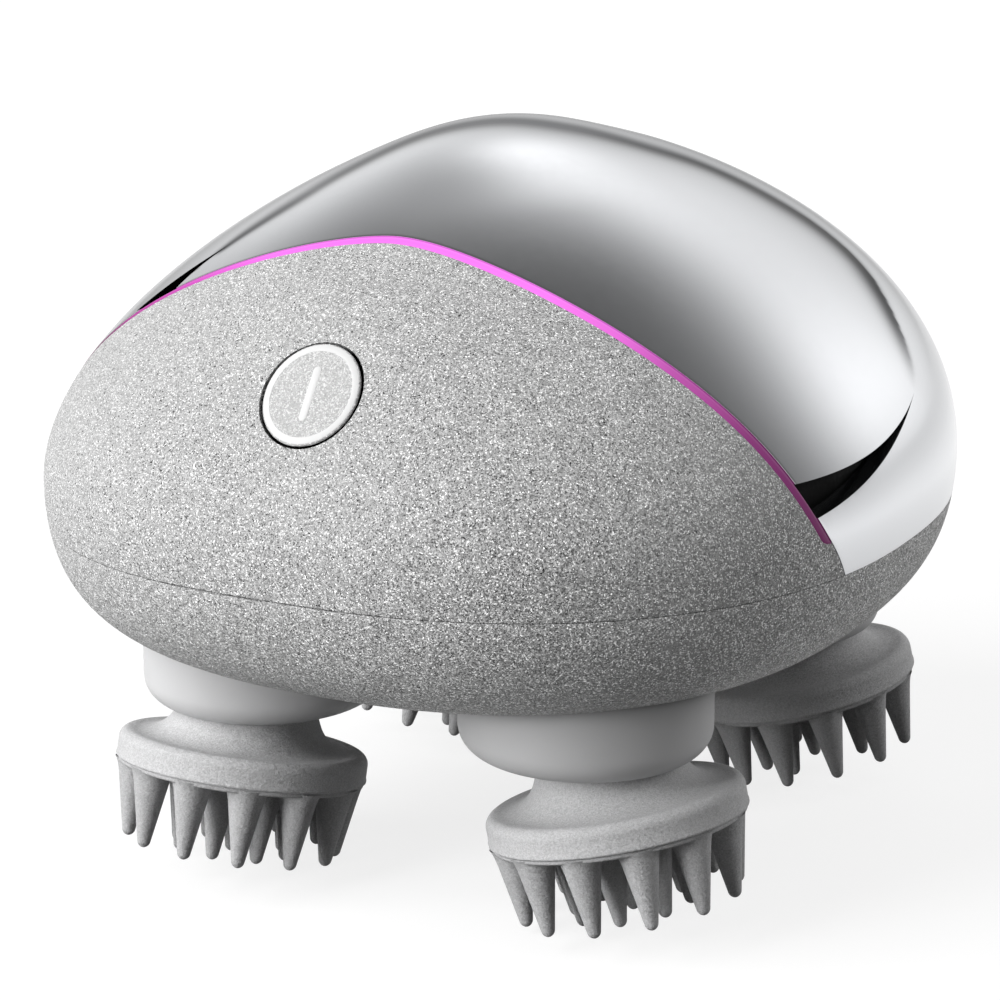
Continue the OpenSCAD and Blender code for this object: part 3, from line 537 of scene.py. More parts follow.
# finishes
plainMaterial = bpy.data.materials.new("cutter")
paintLook = {"cells": 7400, "share": 0.25, "step": 0.02, "pit": 0.31, "ground": 0.46, "flake": 1.0,
             "metal": 0.3, "rough": 0.55, "flakeRough": 0.35, "lean": 1.1, "flakeLean": 2.5,
             "mottle": 3000, "mottleDetail": 3, "bump": 0.3, "depth": 0.03, "shine": 0.35}
capLook = {**paintLook, "cells": 8000, "pit": 0.34, "flake": 0.6, "metal": 0.0, "lean": 0.6, "flakeLean": 0.8,
           "shine": 0.2}
# the crease colours are painted shade: a dark base colour and a dimmed reflection tint along the crease
plateLook = {"colour": (0.735, 0.745, 0.765), "creaseShadeColour": (0.075, 0.077, 0.082), "creaseShadeTint": 0.4,
             "cloud": 900, "cloudDetail": 5, "rough": 0.16, "roughSwing": 0.02}
glowLook = {"colour": (0.05, 0.008, 0.03), "rough": 0.4, "strength": 1.0, "shine": 0.2,
            "light": [(0.095, (0.09, 0.016, 0.06)), (0.135, (0.25, 0.033, 0.18)), (0.16, (0.43, 0.05, 0.33)),
                      (0.2, (0.54, 0.07, 0.43)), (0.25, (0.68, 0.10, 0.58)), (0.3, (0.85, 0.15, 0.77)),
                      (0.35, (1.0, 0.205, 0.93)), (0.70, (1.0, 0.22, 0.94)), (0.785, (0.80, 0.165, 0.72)),
                      (0.845, (0.49, 0.095, 0.41)), (0.895, (0.33, 0.065, 0.26)), (0.93, (0.20, 0.04, 0.155)),
                      (1.0, (0.08, 0.014, 0.055))]}
plainLook = {"cloud": 60, "cloudDetail": 3, "swing": 0.08, "grain": 2500, "grainDetail": 4, "rough": 0.45,
             "roughSwing": 0.06, "bump": 0.1, "depth": 0.02, "metal": 0, "coat": 0, "shine": 0.5}
sandLook = {"swing": 0.03, "shine": 0.2, "sand": 0.4, "sandCells": 8000}
looks = {
    "satin_grey": {"colour": (0.52, 0.52, 0.525), "rough": 0.5, "grain": 3000, "bump": 0.08, "swing": 0.03,
                   "shine": 0.25},
    "head_grey": {**sandLook, "colour": (0.47, 0.47, 0.475), "rough": 0.65, "speck": 0.32},
    "silicone": {**sandLook, "colour": (0.42, 0.42, 0.425), "rough": 0.7, "speck": 0.3},
    "button_white": {"colour": (0.6, 0.6, 0.6), "rough": 0.35, "swing": 0.02, "bump": 0.03},
    "black_plastic": {"colour": (0.005, 0.005, 0.005), "rough": 0.6, "swing": 0.2, "shine": 0.08},
    "seal_rubber": {"colour": (0.03, 0.03, 0.03), "rough": 0.7, "swing": 0.15, "bump": 0.2},
    "steel": {"colour": (0.58, 0.58, 0.59), "rough": 0.3, "metal": 1, "swing": 0.06, "grain": 4000},
    "bronze": {"colour": (0.55, 0.36, 0.17), "rough": 0.42, "metal": 1, "swing": 0.15, "grain": 5000,
               "bump": 0.2},
    "worm_brass": {"colour": (0.70, 0.52, 0.23), "rough": 0.28, "metal": 1},
    "gear_plastic": {"colour": (0.80, 0.78, 0.70), "swing": 0.04},
    "plate_zinc": {"colour": (0.60, 0.61, 0.62), "rough": 0.4, "metal": 1, "swing": 0.12, "cloud": 200},
    "bracket_grey": {"colour": (0.06, 0.06, 0.065), "rough": 0.5, "swing": 0.1, "bump": 0.15},
    "board_green": {"colour": (0.02, 0.14, 0.06), "rough": 0.35, "swing": 0.25, "cloud": 500, "coat": 0.4},
    "cell_blue": {"colour": (0.03, 0.10, 0.32), "rough": 0.25, "swing": 0.06, "coat": 0.5},
    "white_plastic": {"colour": (0.80, 0.80, 0.79), "swing": 0.03},
    "contact_gold": {"colour": (0.80, 0.58, 0.24), "rough": 0.2, "metal": 1, "swing": 0.05},
}
flakeSilver = flakePaint("flakeSilver", paintLook)
capSilver = flakePaint("capSilver", capLook)
brightPlate = platedMetal("brightPlate", plateLook)
stripGlow = glowGuide("stripGlow", glowLook)
finishes = {slotName: solidFinish(slotName, look) for slotName, look in looks.items()}
finishes["speckled_silver"] = flakeSilver
finishes["button_grey"] = capSilver
finishes["bright_cover"] = brightPlate
finishes["light_guide"] = stripGlow
for part in frame["record"]["subparts"]:
    onlyMaterial(frame["nodes"][part["node"]].data, finishes[part["material_slot"]])
print("materials ready", len(finishes))

# front arch, seen from the front; its offsets narrow towards the ends
arch = {"height": 34.9, "half": 50.5, "flat": 14.3, "turn": 22.7, "taper": 0.45, "steps": 96, "endSteps": 18,
        "pastEnd": (0.0005, 0.001, 0.002), "probe": (0.25, 0.35)}
seams = {"stripLow": 0.03, "stripHigh": 0.57, "gap": 0.1, "hair": 0.07, "stripEnd": 4.4, "stripRound": 1.1,
         "edge": 0.18, "parting": 0.04, "partEdge": 0.07, "coverEdge": 0.06, "filletSteps": 4}


def archLine(t):
    x = bezier(t, 0, arch["flat"], arch["half"], arch["half"])
    return x, bezier(t, arch["height"], arch["height"], arch["turn"], 0)


def archPoint(t, d):
    x, z = archLine(t)
    step = 1e-5
    dx, dz = np.subtract(archLine(t + step), archLine(t - step))
    out = d * (1 - arch["taper"] * t) / np.hypot(dx, dz)
    return x - out * dz, z + out * dx


def archShares(d, t, floor=seams["parting"]):
    # (a, v) of arch points for t from -1 to 1, kept above a floor level
    x, z = archPoint(np.abs(t), d)
    return frontShare(x * np.where(t < 0, -1, 1), np.maximum(z, floor))


def fillet(r):
    # (offset from an edge, depth under the skin) round an edge of radius r, from its side to its top
    turns = [k * math.pi / 2 / seams["filletSteps"] for k in range(seams["filletSteps"] + 1)]
    return [(r * (1 - math.cos(turn)), r * (1 - math.sin(turn))) for turn in turns]


# places along the arch, closer together where the light strip ends
evenT = np.linspace(0, 1, arch["steps"] + 1)
endLevels = np.array([seams["stripEnd"] + seams["stripRound"], seams["stripEnd"]])
roundT, stripT = np.interp(-endLevels, -archLine(evenT)[1], evenT)
endT = np.linspace(roundT, stripT, arch["endSteps"])
halfT = np.unique(np.concatenate([evenT, endT, stripT + np.array(arch["pastEnd"])]))
archT = np.concatenate([-halfT[:0:-1], halfT])

# millimetres on the skin for one of the arch's offset
probeNear, probeFar = (skin(*archShares(d, archT)) for d in arch["probe"])
seamRate = np.linalg.norm(probeFar - probeNear, axis=-1) / (arch["probe"][1] - arch["probe"][0])


def stripLow(t, limit):
    # offset of the strip's lower edge, which rounds up to the upper edge at both ends
    level = archLine(np.abs(t))[1]
    s = np.clip((seams["stripEnd"] + seams["stripRound"] - level) / seams["stripRound"], 0, limit)
    return seams["stripLow"] + (seams["stripHigh"] - seams["stripLow"]) * (1 - (1 - s ** 3) ** (1 / 3))


coverOffset = seams["stripHigh"] + seams["gap"] / seamRate
panelOffset = np.where(np.abs(archT) <= stripT, stripLow(archT, 1) - seams["gap"] / seamRate,
                       coverOffset - seams["hair"] / seamRate)

# button frame on the front meridian; the panel swells a little so that the button looks more forward
button = {"place": 0.29, "radius": 6.1, "gap": 0.34, "hole": (-8, 6), "top": 0.1, "thick": 0.55,
          "dome": 110.0, "edge": 0.25, "foot": 0.14, "rings": (0.9, 0.75, 0.6, 0.45, 0.3, 0.15, 0),
          "stem": 2.2, "stemEnd": -6.25, "stemRound": 0.4, "steps": 128, "tip": 9.5, "turn": 5.0,
          "swell": 10.5, "fade": (13.0, 18.0)}
buttonAt = skin(0.0, button["place"])
skinUp = skinNormal(0.0, button["place"])
upSlope = np.array([0, skinUp[2], -skinUp[1]])
tipSlope = math.tan(math.radians(button["tip"]))
turnSlope = math.tan(math.radians(button["turn"]))


def swell(p):
    s = (p - buttonAt) @ upSlope
    u = p[..., 0]
    near = np.exp(-(s * s + u * u) / (2 * button["swell"] ** 2)) * (1 - smooth(s, *button["fade"]))
    return (tipSlope * s + turnSlope * u) * near


frameZ = Vector(skinUp - tipSlope * upSlope - turnSlope * np.array([1, 0, 0])).normalized()
frameY = frameZ.cross(Vector((1, 0, 0))).normalized()
frameX = frameY.cross(frameZ)
buttonAxes = Matrix((frameX, frameY, frameZ)).transposed().to_4x4()
buttonFrame = Matrix.Translation(overParting(buttonAt)) @ buttonAxes

# front panel: rows go up the outside and back down the inside
panel = {"rows": 72, "insideRows": 14}
panelA, panelTop = archShares(panelOffset - seams["edge"] / seamRate, archT)
panelLow = np.minimum(levelShare(seams["parting"] + seams["partEdge"]), panelTop)


def panelRow(a, v, depth):
    p = skin(a, v)
    return p + skinNormal(a, v) * (swell(p) - depth)[..., None]


def panelBetween(share, depth):
    return panelRow(panelA, panelLow + (panelTop - panelLow) * share, depth)


wallFoot = [(0, body["wall"])]
rows = [panelRow(panelA, np.minimum(levelShare(seams["parting"] + off), panelTop), depth)
        for off, depth in wallFoot + fillet(seams["partEdge"])]
rows += [panelBetween(s, 0) for s in np.linspace(0, 1, panel["rows"])[1:-1]]
rows += [panelRow(*archShares(panelOffset - off / seamRate, archT), depth)
         for off, depth in fillet(seams["edge"])[::-1] + wallFoot]
rows += [panelBetween(s, body["wall"]) for s in np.linspace(1, 0, panel["insideRows"])[1:-1]]
frontPanel = loopPiece("frontPanel", rows, flakeSilver)
holeR = button["radius"] + button["gap"]
cut(frontPanel, roundTool("holeTool", buttonFrame, holeR, *button["hole"], button["steps"]))
place(frontPanel, "casing", "speckled_silver", "front_panel")
print("front panel", len(frontPanel.data.polygons), "faces")


# button: a low dome on a stem, with a ring and a bar let into it
def capLevel(reach):
    return button["top"] - reach ** 2 / (2 * button["dome"])


capR, capEdge, capFoot = button["radius"], button["edge"], button["foot"]
capUnder = button["top"] - button["thick"]
stemR, stemEnd, stemRound = button["stem"], button["stemEnd"], button["stemRound"]
capProfile = [(0, stemEnd)] + arc(stemR - stemRound, stemEnd + stemRound, stemRound, -90, 0, 4)
capProfile += [(stemR, capUnder), (capR - capFoot, capUnder), (capR, capUnder + capFoot)]
capProfile += arc(capR - capEdge, capLevel(capR - capEdge) - capEdge, capEdge, 0, 90, 6)
capProfile += [(capR * share, capLevel(capR * share)) for share in button["rings"]]
buttonCap = inFrame("buttonCap", latheMesh("buttonCap", capProfile, button["steps"]), buttonFrame, capSilver)
place(buttonCap, "button", "button_grey", "button_cap")

ring = {"inner": 5.12, "outer": 5.98, "foot": -0.15, "proud": 0.03, "innerEdge": (0.05, 0.04),
        "outerEdge": [(0.12, 0), (0.04, 0.05), (0, 0.14)]}
inset, drop = ring["innerEdge"]
ringProfile = [(ring["inner"], ring["foot"]), (ring["inner"], ring["proud"] - drop),
               (ring["inner"] + inset, ring["proud"])]
ringProfile += [(ring["outer"] - inset, ring["proud"] - drop) for inset, drop in ring["outerEdge"]]
ringProfile += [(ring["outer"], ring["foot"])]
points = []
for k in range(button["steps"]):
    angle = 2 * math.pi * k / button["steps"]
    points += [(r * math.cos(angle), r * math.sin(angle), capLevel(r) + z) for r, z in ringProfile]
ringMesh = meshOf("buttonRing", points, gridFaces(button["steps"], len(ringProfile), True, True))
buttonRing = inFrame("buttonRing", ringMesh, buttonFrame, finishes["button_white"])
place(buttonRing, "button", "button_white", "button_ring")

bar = {"length": 6.5, "width": 1.0, "foot": -0.4, "proud": 0.03, "edge": (0.05, 0.03), "steps": 12}
barEnd = (bar["length"] - bar["width"]) / 2
inset, drop = bar["edge"]
barRows = [(0, bar["foot"]), (0, bar["proud"] - drop), (inset, bar["proud"])]
points = []
for shrink, rise in barRows:
    endR = bar["width"] / 2 - shrink
    outline = arc(0, barEnd, endR, 0, 180, bar["steps"]) + arc(0, -barEnd, endR, 180, 360, bar["steps"])
    points += [(x, y, button["top"] + rise) for x, y in outline]
count = len(outline)
barFaces = gridFaces(len(barRows), count, False, True)
barFaces += [list(range(count)), list(range(len(points) - count, len(points)))]
barMesh = meshOf("buttonMark", points, barFaces)
buttonMark = inFrame("buttonMark", barMesh, buttonFrame, finishes["button_white"])
place(buttonMark, "button", "button_white", "button_mark")
print("button set into the panel")

# light strip: a low bead between panel and cover, with rounded ends; (share across, depth) of one half
strip = {"half": [(0, 1.4), (0, 0.16), (0.1, 0.06), (0.3, 0)], "proud": 0.02, "endShare": 0.998}
stripAt = archT[np.abs(archT) <= stripT]
stripFoot = stripLow(stripAt, strip["endShare"])


def stripRow(across, depth):
    a, v = archShares(stripFoot + (seams["stripHigh"] - stripFoot) * across, stripAt)
    return inward(a, v, np.full_like(a, depth))


farHalf = [(1 - across, depth) for across, depth in strip["half"][::-1]]
rows = [stripRow(across, depth) for across, depth in strip["half"] + [(0.5, -strip["proud"])] + farHalf]
lightStrip = loopPiece("lightStrip", rows, stripGlow)
markVertices(lightStrip, "along", np.clip(vertexPlaces(lightStrip)[:, 0] / (2 * arch["half"]) + 0.5, 0, 1))
place(lightStrip, "casing", "light_guide", "light_strip")
print("light strip", len(lightStrip.data.polygons), "faces")

# bright cover: columns follow the arch in front and go round the rim behind, rows go from rim to top
cover = {"rimColumns": 330, "rows": 110, "insideRows": 26, "upTo": 0.999, "valley": 0.35, "valleyWidth": 3.0,
         "soft": 0.9, "fade": 0.12, "lineSteps": 14,
         # the crease seen from above
         "crease": [(-25, -27.3), (-20, -21.3), (-15.3, -14.6), (-9.5, -8.6), (-1, -5.0), (7.6, -1.6),
                    (14.3, 4.2), (20.4, 10.1), (26.8, 14.8), (32.7, 18.0), (38, 18.4), (42.8, 15.0),
                    (47.1, 10), (49.4, 5.2)],
         # painted shade along the crease: share, its middle, reach on the lobe, reach on the band, depth
         "shade": [(0, 0, 0.8, 1.0, 0.83), (0.04, 0, 1.3, 1.8, 0.77), (0.083, -0.2, 1.8, 2.2, 0.72),
                   (0.125, -0.3, 2.1, 2.4, 0.62), (0.167, -0.5, 2.6, 2.4, 0.66), (0.25, -0.8, 3.8, 2.3, 0.68),
                   (0.33, -1.4, 4.2, 2.3, 0.66), (0.44, -1.2, 3.4, 2.3, 0.66), (0.52, -0.4, 3.2, 2.2, 0.74),
                   (0.59, 0, 3.4, 2.0, 0.82), (0.67, 0.5, 4.5, 1.8, 0.9), (0.74, 0.7, 4.7, 1.6, 0.95),
                   (0.8, 0.8, 4.7, 1.4, 0.98), (0.85, 0.7, 4.2, 1.1, 0.95), (0.9, 0.5, 3.4, 0.8, 0.84),
                   (0.93, 0.3, 3.0, 0.8, 0.6), (0.955, 0.2, 2.6, 0.7, 0.35), (0.98, 0.1, 1.8, 0.6, 0.1),
                   (1, 0, 1.2, 0.5, 0)]}
cornerA = archShares(coverOffset, archT)[0][-1]
rimA = np.linspace(cornerA, 2 * np.pi - cornerA, cover["rimColumns"] + 2)[1:-1]


def coverEdge(off):
    # (a, v) of a line at some distance from the cover's edge, first along the arch and then round behind
    level = seams["parting"] + off
    a, v = archShares(coverOffset + off / seamRate, archT, level)
    return np.concatenate([a, rimA]), np.concatenate([v, np.full_like(rimA, levelShare(level))])


creasePlan = splinePoints(cover["crease"], cover["lineSteps"])
creaseLine = skin(*topShare(creasePlan[:, 0], creasePlan[:, 1]))
creaseRuns = np.linalg.norm(np.diff(creaseLine, axis=0), axis=1)
creaseStarts = np.concatenate([[0], np.cumsum(creaseRuns)[:-1]]) / creaseRuns.sum()


def creaseDistance(points):
    # distance to the crease line, negative on the band behind it, and the share along the line
    p = points.reshape(-1, 3)
    best = np.full(len(p), np.inf)
    side = np.ones(len(p))
    share = np.zeros(len(p))
    for start, end, first, run in zip(creaseLine[:-1], creaseLine[1:], creaseStarts, creaseRuns):
        way = end - start
        t = np.clip((p - start) @ way / run ** 2, 0, 1)
        gap = p - start - t[:, None] * way
        d = np.linalg.norm(gap, axis=1)
        near = d < best
        best = np.where(near, d, best)
        side = np.where(near, np.where(way[0] * gap[:, 1] - way[1] * gap[:, 0] > 0, -1, 1), side)
        share = np.where(near, first + t * run / creaseRuns.sum(), share)
    return (best * side).reshape(points.shape[:-1]), share.reshape(points.shape[:-1])


def coverRow(a, v, depth):
    p = skin(a, v)
    d, s = creaseDistance(p)
    fade = smooth(np.minimum(s, 1 - s), 0, cover["fade"])
    away = np.hypot(d, cover["soft"]) - cover["soft"]
    drop = cover["valley"] * fade * np.exp(-away / cover["valleyWidth"])
    return p - skinNormal(a, v) * (drop + depth)[..., None]


coverA, coverLow = coverEdge(seams["coverEdge"])


def coverBetween(share, depth):
    return coverRow(coverA, coverLow + (cover["upTo"] - coverLow) * share, depth)


rows = [coverBetween(s, body["wall"]) for s in np.linspace(1, 0, cover["insideRows"])]
rows += [coverRow(*coverEdge(off), depth) for off, depth in wallFoot + fillet(seams["coverEdge"])]
rows += [coverBetween(s, 0) for s in np.linspace(0, 1, cover["rows"])[1:]]
brightCover = domePiece("brightCover", rows, brightPlate)

# the two dark slots, each between two curves that meet at a point
slots = {"side": {"upper": [(-29, 11.7), (-8, 11.4), (5, 15.7)],
                  "lower": [(5, 15.7), (-12, 9.5), (-28.4, 7.2)], "steps": 20, "span": (20, 60)},
         "shoulder": {"upper": [(-34.8, 24.2), (-29.9, 28.7), (-24.2, 32.4)],
                      "lower": [(-24.2, 32.4), (-27.6, 29.8), (-29.0, 26.4)], "steps": 16, "span": (-60, -5)}}


def slotTool(name, put):
    slot = slots[name]
    outline = curve3(*slot["upper"], slot["steps"])[:-1] + curve3(*slot["lower"], slot["steps"])
    return prismTool(name + "SlotTool", outline, put, *slot["span"])


cut(brightCover, slotTool("side", lambda u, w, h: (h, u, w)), slotTool("shoulder", lambda u, w, h: (u, h, w)))
d, s = creaseDistance(vertexPlaces(brightCover))
shadeAt, *shadeColumns = zip(*cover["shade"])
middle, lobeReach, bandReach, depth = (np.interp(s, shadeAt, column) for column in shadeColumns)
# painted shade: how strongly the plating is darkened beside the crease
dark = depth * np.exp(-((d - middle) / np.where(d > middle, lobeReach, bandReach)) ** 2)
markVertices(brightCover, "crease", dark)
place(brightCover, "casing", "bright_cover", "chrome_cover")
print("bright cover", len(brightCover.data.polygons), "faces")

# bowl of the casing: a thick bowl with wells for the hubs and for the screws
heads = {"gapX": 43.2, "gapY": 55.6, "midY": 2.8,
         # side, end and the angle of its lean at rest
         "corners": {"front_left": (-1, -1, -100), "front_right": (1, -1, -10), "rear_right": (1, 1, 20),
                     "rear_left": (-1, 1, 210)}}
bowl = {"columns": 240, "rows": 46, "lowest": -0.992, "floor": -6.1, "floorShares": (0.02, 0.5),
        "insideLevels": (-4.5, -2.5, -0.5), "lipInset": 0.1, "below": -30, "wellR": 15.3, "wellRoof": -9.1,
        "wellSteps": 96, "screwPlaces": [(-42.445, 2.8), (42.445, 2.8), (0, 50.4)], "screwR": 2.32,
        "screwSeat": -5.0, "screwSteps": 48}


def headPlace(side, end):
    return side * heads["gapX"] / 2, heads["midY"] + end * heads["gapY"] / 2


bowlA = np.linspace(0, 2 * np.pi, bowl["columns"], endpoint=False)


def bowlRow(v, depth):
    return inward(bowlA, np.full_like(bowlA, v), np.full_like(bowlA, depth))


floorRow = bowlRow(levelShare(bowl["floor"]), body["wall"])
floorRow[:, 2] = bowl["floor"]
floorMiddle = np.array([0, waistY, bowl["floor"]])
lipRow = bowlRow(levelShare(-seams["parting"]), body["wall"] - bowl["lipInset"])
lipRow[:, 2] = -seams["parting"]
bowlTop = levelShare(-seams["parting"] - seams["partEdge"])
rows = [floorMiddle + (floorRow - floorMiddle) * s for s in bowl["floorShares"]] + [floorRow]
rows += [bowlRow(levelShare(z), body["wall"]) for z in bowl["insideLevels"]] + [lipRow]
rows += [bowlRow(levelShare(-seams["parting"] - off), depth) for off, depth in fillet(seams["partEdge"])]
rows += [bowlRow(v, 0) for v in np.linspace(bowlTop, bowl["lowest"], bowl["rows"])[1:]]
bowlCasing = domePiece("bowlCasing", rows, flakeSilver)
wellSize = (bowl["wellR"], bowl["below"], bowl["wellRoof"], bowl["wellSteps"])
screwSize = (bowl["screwR"], bowl["below"], bowl["screwSeat"], bowl["screwSteps"])
tools = [roundTool("wellTool", upright(*headPlace(side, end)), *wellSize)
         for side, end, lean in heads["corners"].values()]
tools += [roundTool("screwTool", upright(x, y), *screwSize) for x, y in bowl["screwPlaces"]]
cut(bowlCasing, *tools)
place(bowlCasing, "casing", "speckled_silver", "base_casing")
print("bowl", len(bowlCasing.data.polygons), "faces")

# charging pad under the bowl, with a hole for each contact
pad = {"radius": 11.0, "drop": 0.8, "root": 1.2, "round": 0.3, "contactX": 5.0, "contactR": 2.25,
       "contactDepth": 0.9, "contactBelow": 1, "contactSteps": 48}
padR, padRound = pad["radius"], pad["round"]
padFoot = -body["bowl"] - pad["drop"]
padRoot = pad["root"] - body["bowl"]
padProfile = [(0, padRoot), (padR, padRoot), (padR, padFoot + padRound)]
padProfile += arc(padR - padRound, padFoot + padRound, padRound, 0, -90, 5) + [(0, padFoot)]
chargePad = inFrame("chargePad", latheMesh("chargePad", padProfile), upright(0, heads["midY"]), flakeSilver)
contactSize = (pad["contactR"], padFoot - pad["contactBelow"], padFoot + pad["contactDepth"],
               pad["contactSteps"])
cut(chargePad, *[roundTool("contactTool", upright(side * pad["contactX"], heads["midY"]), *contactSize)
                 for side in (-1, 1)])
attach(chargePad, "casing")

# drive hubs and tilted heads
hub = {"radius": 14.8, "top": -9.6, "bottom": -23.1, "round": 3.2, "chamfer": 0.5, "middleR": 5, "steps": 120}
head = {"tilt": 13.0, "offset": 4.8, "depth": 31.3, "radius": 15.2, "rim": 3.4, "neck": 8.0, "sunk": 1.0,
        "round": 1.25, "flareR": (0.1, 1.8), "flareU": (2.4, 0.2), "valley": 0.02, "valleyR": 1.0,
        "riseR": (0.6, 0.5), "lip": 0.08, "lipLevels": (0.5, 0.32, 0.12), "lipTuck": 0.05,
        "cutAbove": 0.15, "flareSteps": 22, "riseSteps": 7, "steps": 120}
tilt = math.radians(head["tilt"])
pivot = head["depth"] - head["offset"] / math.tan(tilt)
rimU = head["offset"] / math.sin(tilt)


def hubProfile():
    edge = arc(hub["radius"] - hub["round"], hub["bottom"] + hub["round"], hub["round"], 0, -90, 14)
    shoulder = [(hub["radius"] - hub["chamfer"], hub["top"]), (hub["radius"], hub["top"] - hub["chamfer"])]
    return [(0, hub["top"])] + shoulder + edge + [(hub["middleR"], hub["bottom"]), (0, hub["bottom"])]


def headProfile():
    # a tall flare from the neck to a shallow valley, a rounded rim and a fine lip below
    neck, wide = head["neck"], head["radius"] + head["lip"]
    topU = rimU - head["rim"]
    neckU = (-hub["bottom"] - pivot) / math.cos(tilt) - neck * math.tan(tilt) - head["sunk"]
    reach = head["radius"] - head["round"]
    low, lowR = topU + head["valley"], reach - head["valleyR"]
    flareR = (neck, neck + head["flareR"][0], neck + head["flareR"][1], lowR)
    flareU = (neckU, topU - head["flareU"][0], low - head["flareU"][1], low)
    riseR = (lowR, reach - head["riseR"][0], reach - head["riseR"][1], reach)
    profile = [(0, neckU)]
    for t in np.linspace(0, 1, head["flareSteps"]):
        profile.append((bezier(t, *flareR), bezier(t, *flareU)))
    for t in np.linspace(0, 1, head["riseSteps"])[1:-1]:
        profile.append((bezier(t, *riseR), bezier(t, low, low, topU, topU)))
    profile += arc(reach, topU + head["round"], head["round"], -90, 0, 10)
    profile += [(r, rimU - level) for r, level in zip((head["radius"], wide, wide), head["lipLevels"])]
    return profile + [(head["radius"] - head["lipTuck"], rimU), (0, rimU)]


def headMesh(name, matrix):
    mesh = latheMesh(name, headProfile(), head["steps"])
    mesh.transform(matrix)
    work = bmesh.new()
    work.from_mesh(mesh)
    # the neck stops just inside the hub's lower face
    cutLevel = overParting((0, 0, hub["bottom"] + head["cutAbove"]))
    everything = work.verts[:] + work.edges[:] + work.faces[:]
    result = bmesh.ops.bisect_plane(work, geom=everything, plane_co=cutLevel, plane_no=(0, 0, 1),
                                    clear_outer=True)
    cutEdges = [item for item in result["geom_cut"] if isinstance(item, bmesh.types.BMEdge)]
    bmesh.ops.edgeloop_fill(work, edges=cutEdges)
    work.to_mesh(mesh)
    work.free()
    return mesh


# finger pads: a disc with rings of fingers
fingers = {"Outer Count": 12, "Outer Ring": 12.6 * mm, "Outer Length": 9.6 * mm, "Inner Count": 8,
           "Inner Ring": 6.9 * mm, "Inner Length": 10.2 * mm, "Root Radius": 2.42 * mm,
           "Tip Radius": 0.66 * mm, "Fillet": 0.3 * mm, "Fillet Power": 16.0, "Crowding": 1.6,
           "Points Along": 44, "Points Around": 26}
disc = {"thick": 0.6, "inset": 0.2, "round": 0.3, "back": -0.05, "root": 0.4}


def fingerTree():
    tree = bpy.data.node_groups.new("fingerRings", "GeometryNodeTree")
    face = tree.interface
    face.new_socket("Geometry", in_out="INPUT", socket_type="NodeSocketGeometry")
    for key, value in fingers.items():
        kind = "NodeSocketInt" if isinstance(value, int) else "NodeSocketFloat"
        face.new_socket(key, in_out="INPUT", socket_type=kind)
    face.new_socket("Material", in_out="INPUT", socket_type="NodeSocketMaterial")
    face.new_socket("Geometry", in_out="OUTPUT", socket_type="NodeSocketGeometry")
    sizes = tree.nodes.new("NodeGroupInput").outputs

    def calc(operation, *values):
        return maths(tree, operation, *values)

    def made(kind, output, inputs):
        node = tree.nodes.new("GeometryNode" + kind)
        feed(tree, node, inputs)
        return node.outputs[output]

    def upwards(value):
        node = tree.nodes.new("ShaderNodeCombineXYZ")
        feed(tree, node, {"Z": value})
        return node.outputs["Vector"]

    def oneFinger(length):
        # a line whose radius narrows from root to tip and closes in a round end
        line = made("CurvePrimitiveLine", "Curve", {"End": upwards(length)})
        line = made("ResampleCurve", "Curve", {"Curve": line, "Count": sizes["Points Along"]})
        along = made("SplineParameter", "Factor", {})
        left = calc("SUBTRACT", 1.0, along)
        # points crowd towards the round end
        crowd = calc("SUBTRACT", calc("SUBTRACT", 1.0, calc("POWER", left, sizes["Crowding"])), along)
        shift = upwards(calc("MULTIPLY", crowd, length))
        line = made("SetPosition", "Geometry", {"Geometry": line, "Offset": shift})
        taper = calc("ADD", calc("MULTIPLY", left, sizes["Root Radius"]),
                     calc("MULTIPLY", along, sizes["Tip Radius"]))
        inRound = calc("MINIMUM", calc("DIVIDE", calc("MULTIPLY", left, length), sizes["Tip Radius"]), 1.0)
        roundEnd = calc("SQRT", calc("MULTIPLY", inRound, calc("SUBTRACT", 2.0, inRound)))
        foot = calc("MULTIPLY", calc("POWER", left, sizes["Fillet Power"]), sizes["Fillet"])
        radius = calc("ADD", calc("MULTIPLY", taper, roundEnd), foot)
        circle = made("CurvePrimitiveCircle", "Curve", {"Resolution": sizes["Points Around"], "Radius": 1.0})
        return made("CurveToMesh", "Mesh", {"Curve": line, "Scale": radius, "Profile Curve": circle})

    def ringOf(kind):
        count = sizes[kind + " Count"]
        places = made("MeshCircle", "Mesh", {"Vertices": count, "Radius": sizes[kind + " Ring"]})
        halfStep = upwards(calc("DIVIDE", math.pi, count))
        places = made("Transform", "Geometry", {"Geometry": places, "Rotation": halfStep})
        finger = oneFinger(sizes[kind + " Length"])
        return made("InstanceOnPoints", "Instances", {"Points": places, "Instance": finger})

    join = tree.nodes.new("GeometryNodeJoinGeometry")
    for geometry in (sizes["Geometry"], ringOf("Outer"), ringOf("Inner"), oneFinger(sizes["Inner Length"])):
        tree.links.new(geometry, join.inputs["Geometry"])
    real = made("RealizeInstances", "Geometry", {"Geometry": join.outputs["Geometry"]})
    painted = made("SetMaterial", "Geometry", {"Geometry": real, "Material": sizes["Material"]})
    feed(tree, tree.nodes.new("NodeGroupOutput"), {"Geometry": painted})
    return tree


fingerRings = fingerTree()
sockets = {item.name: item.identifier for item in fingerRings.interface.items_tree if item.in_out == "INPUT"}


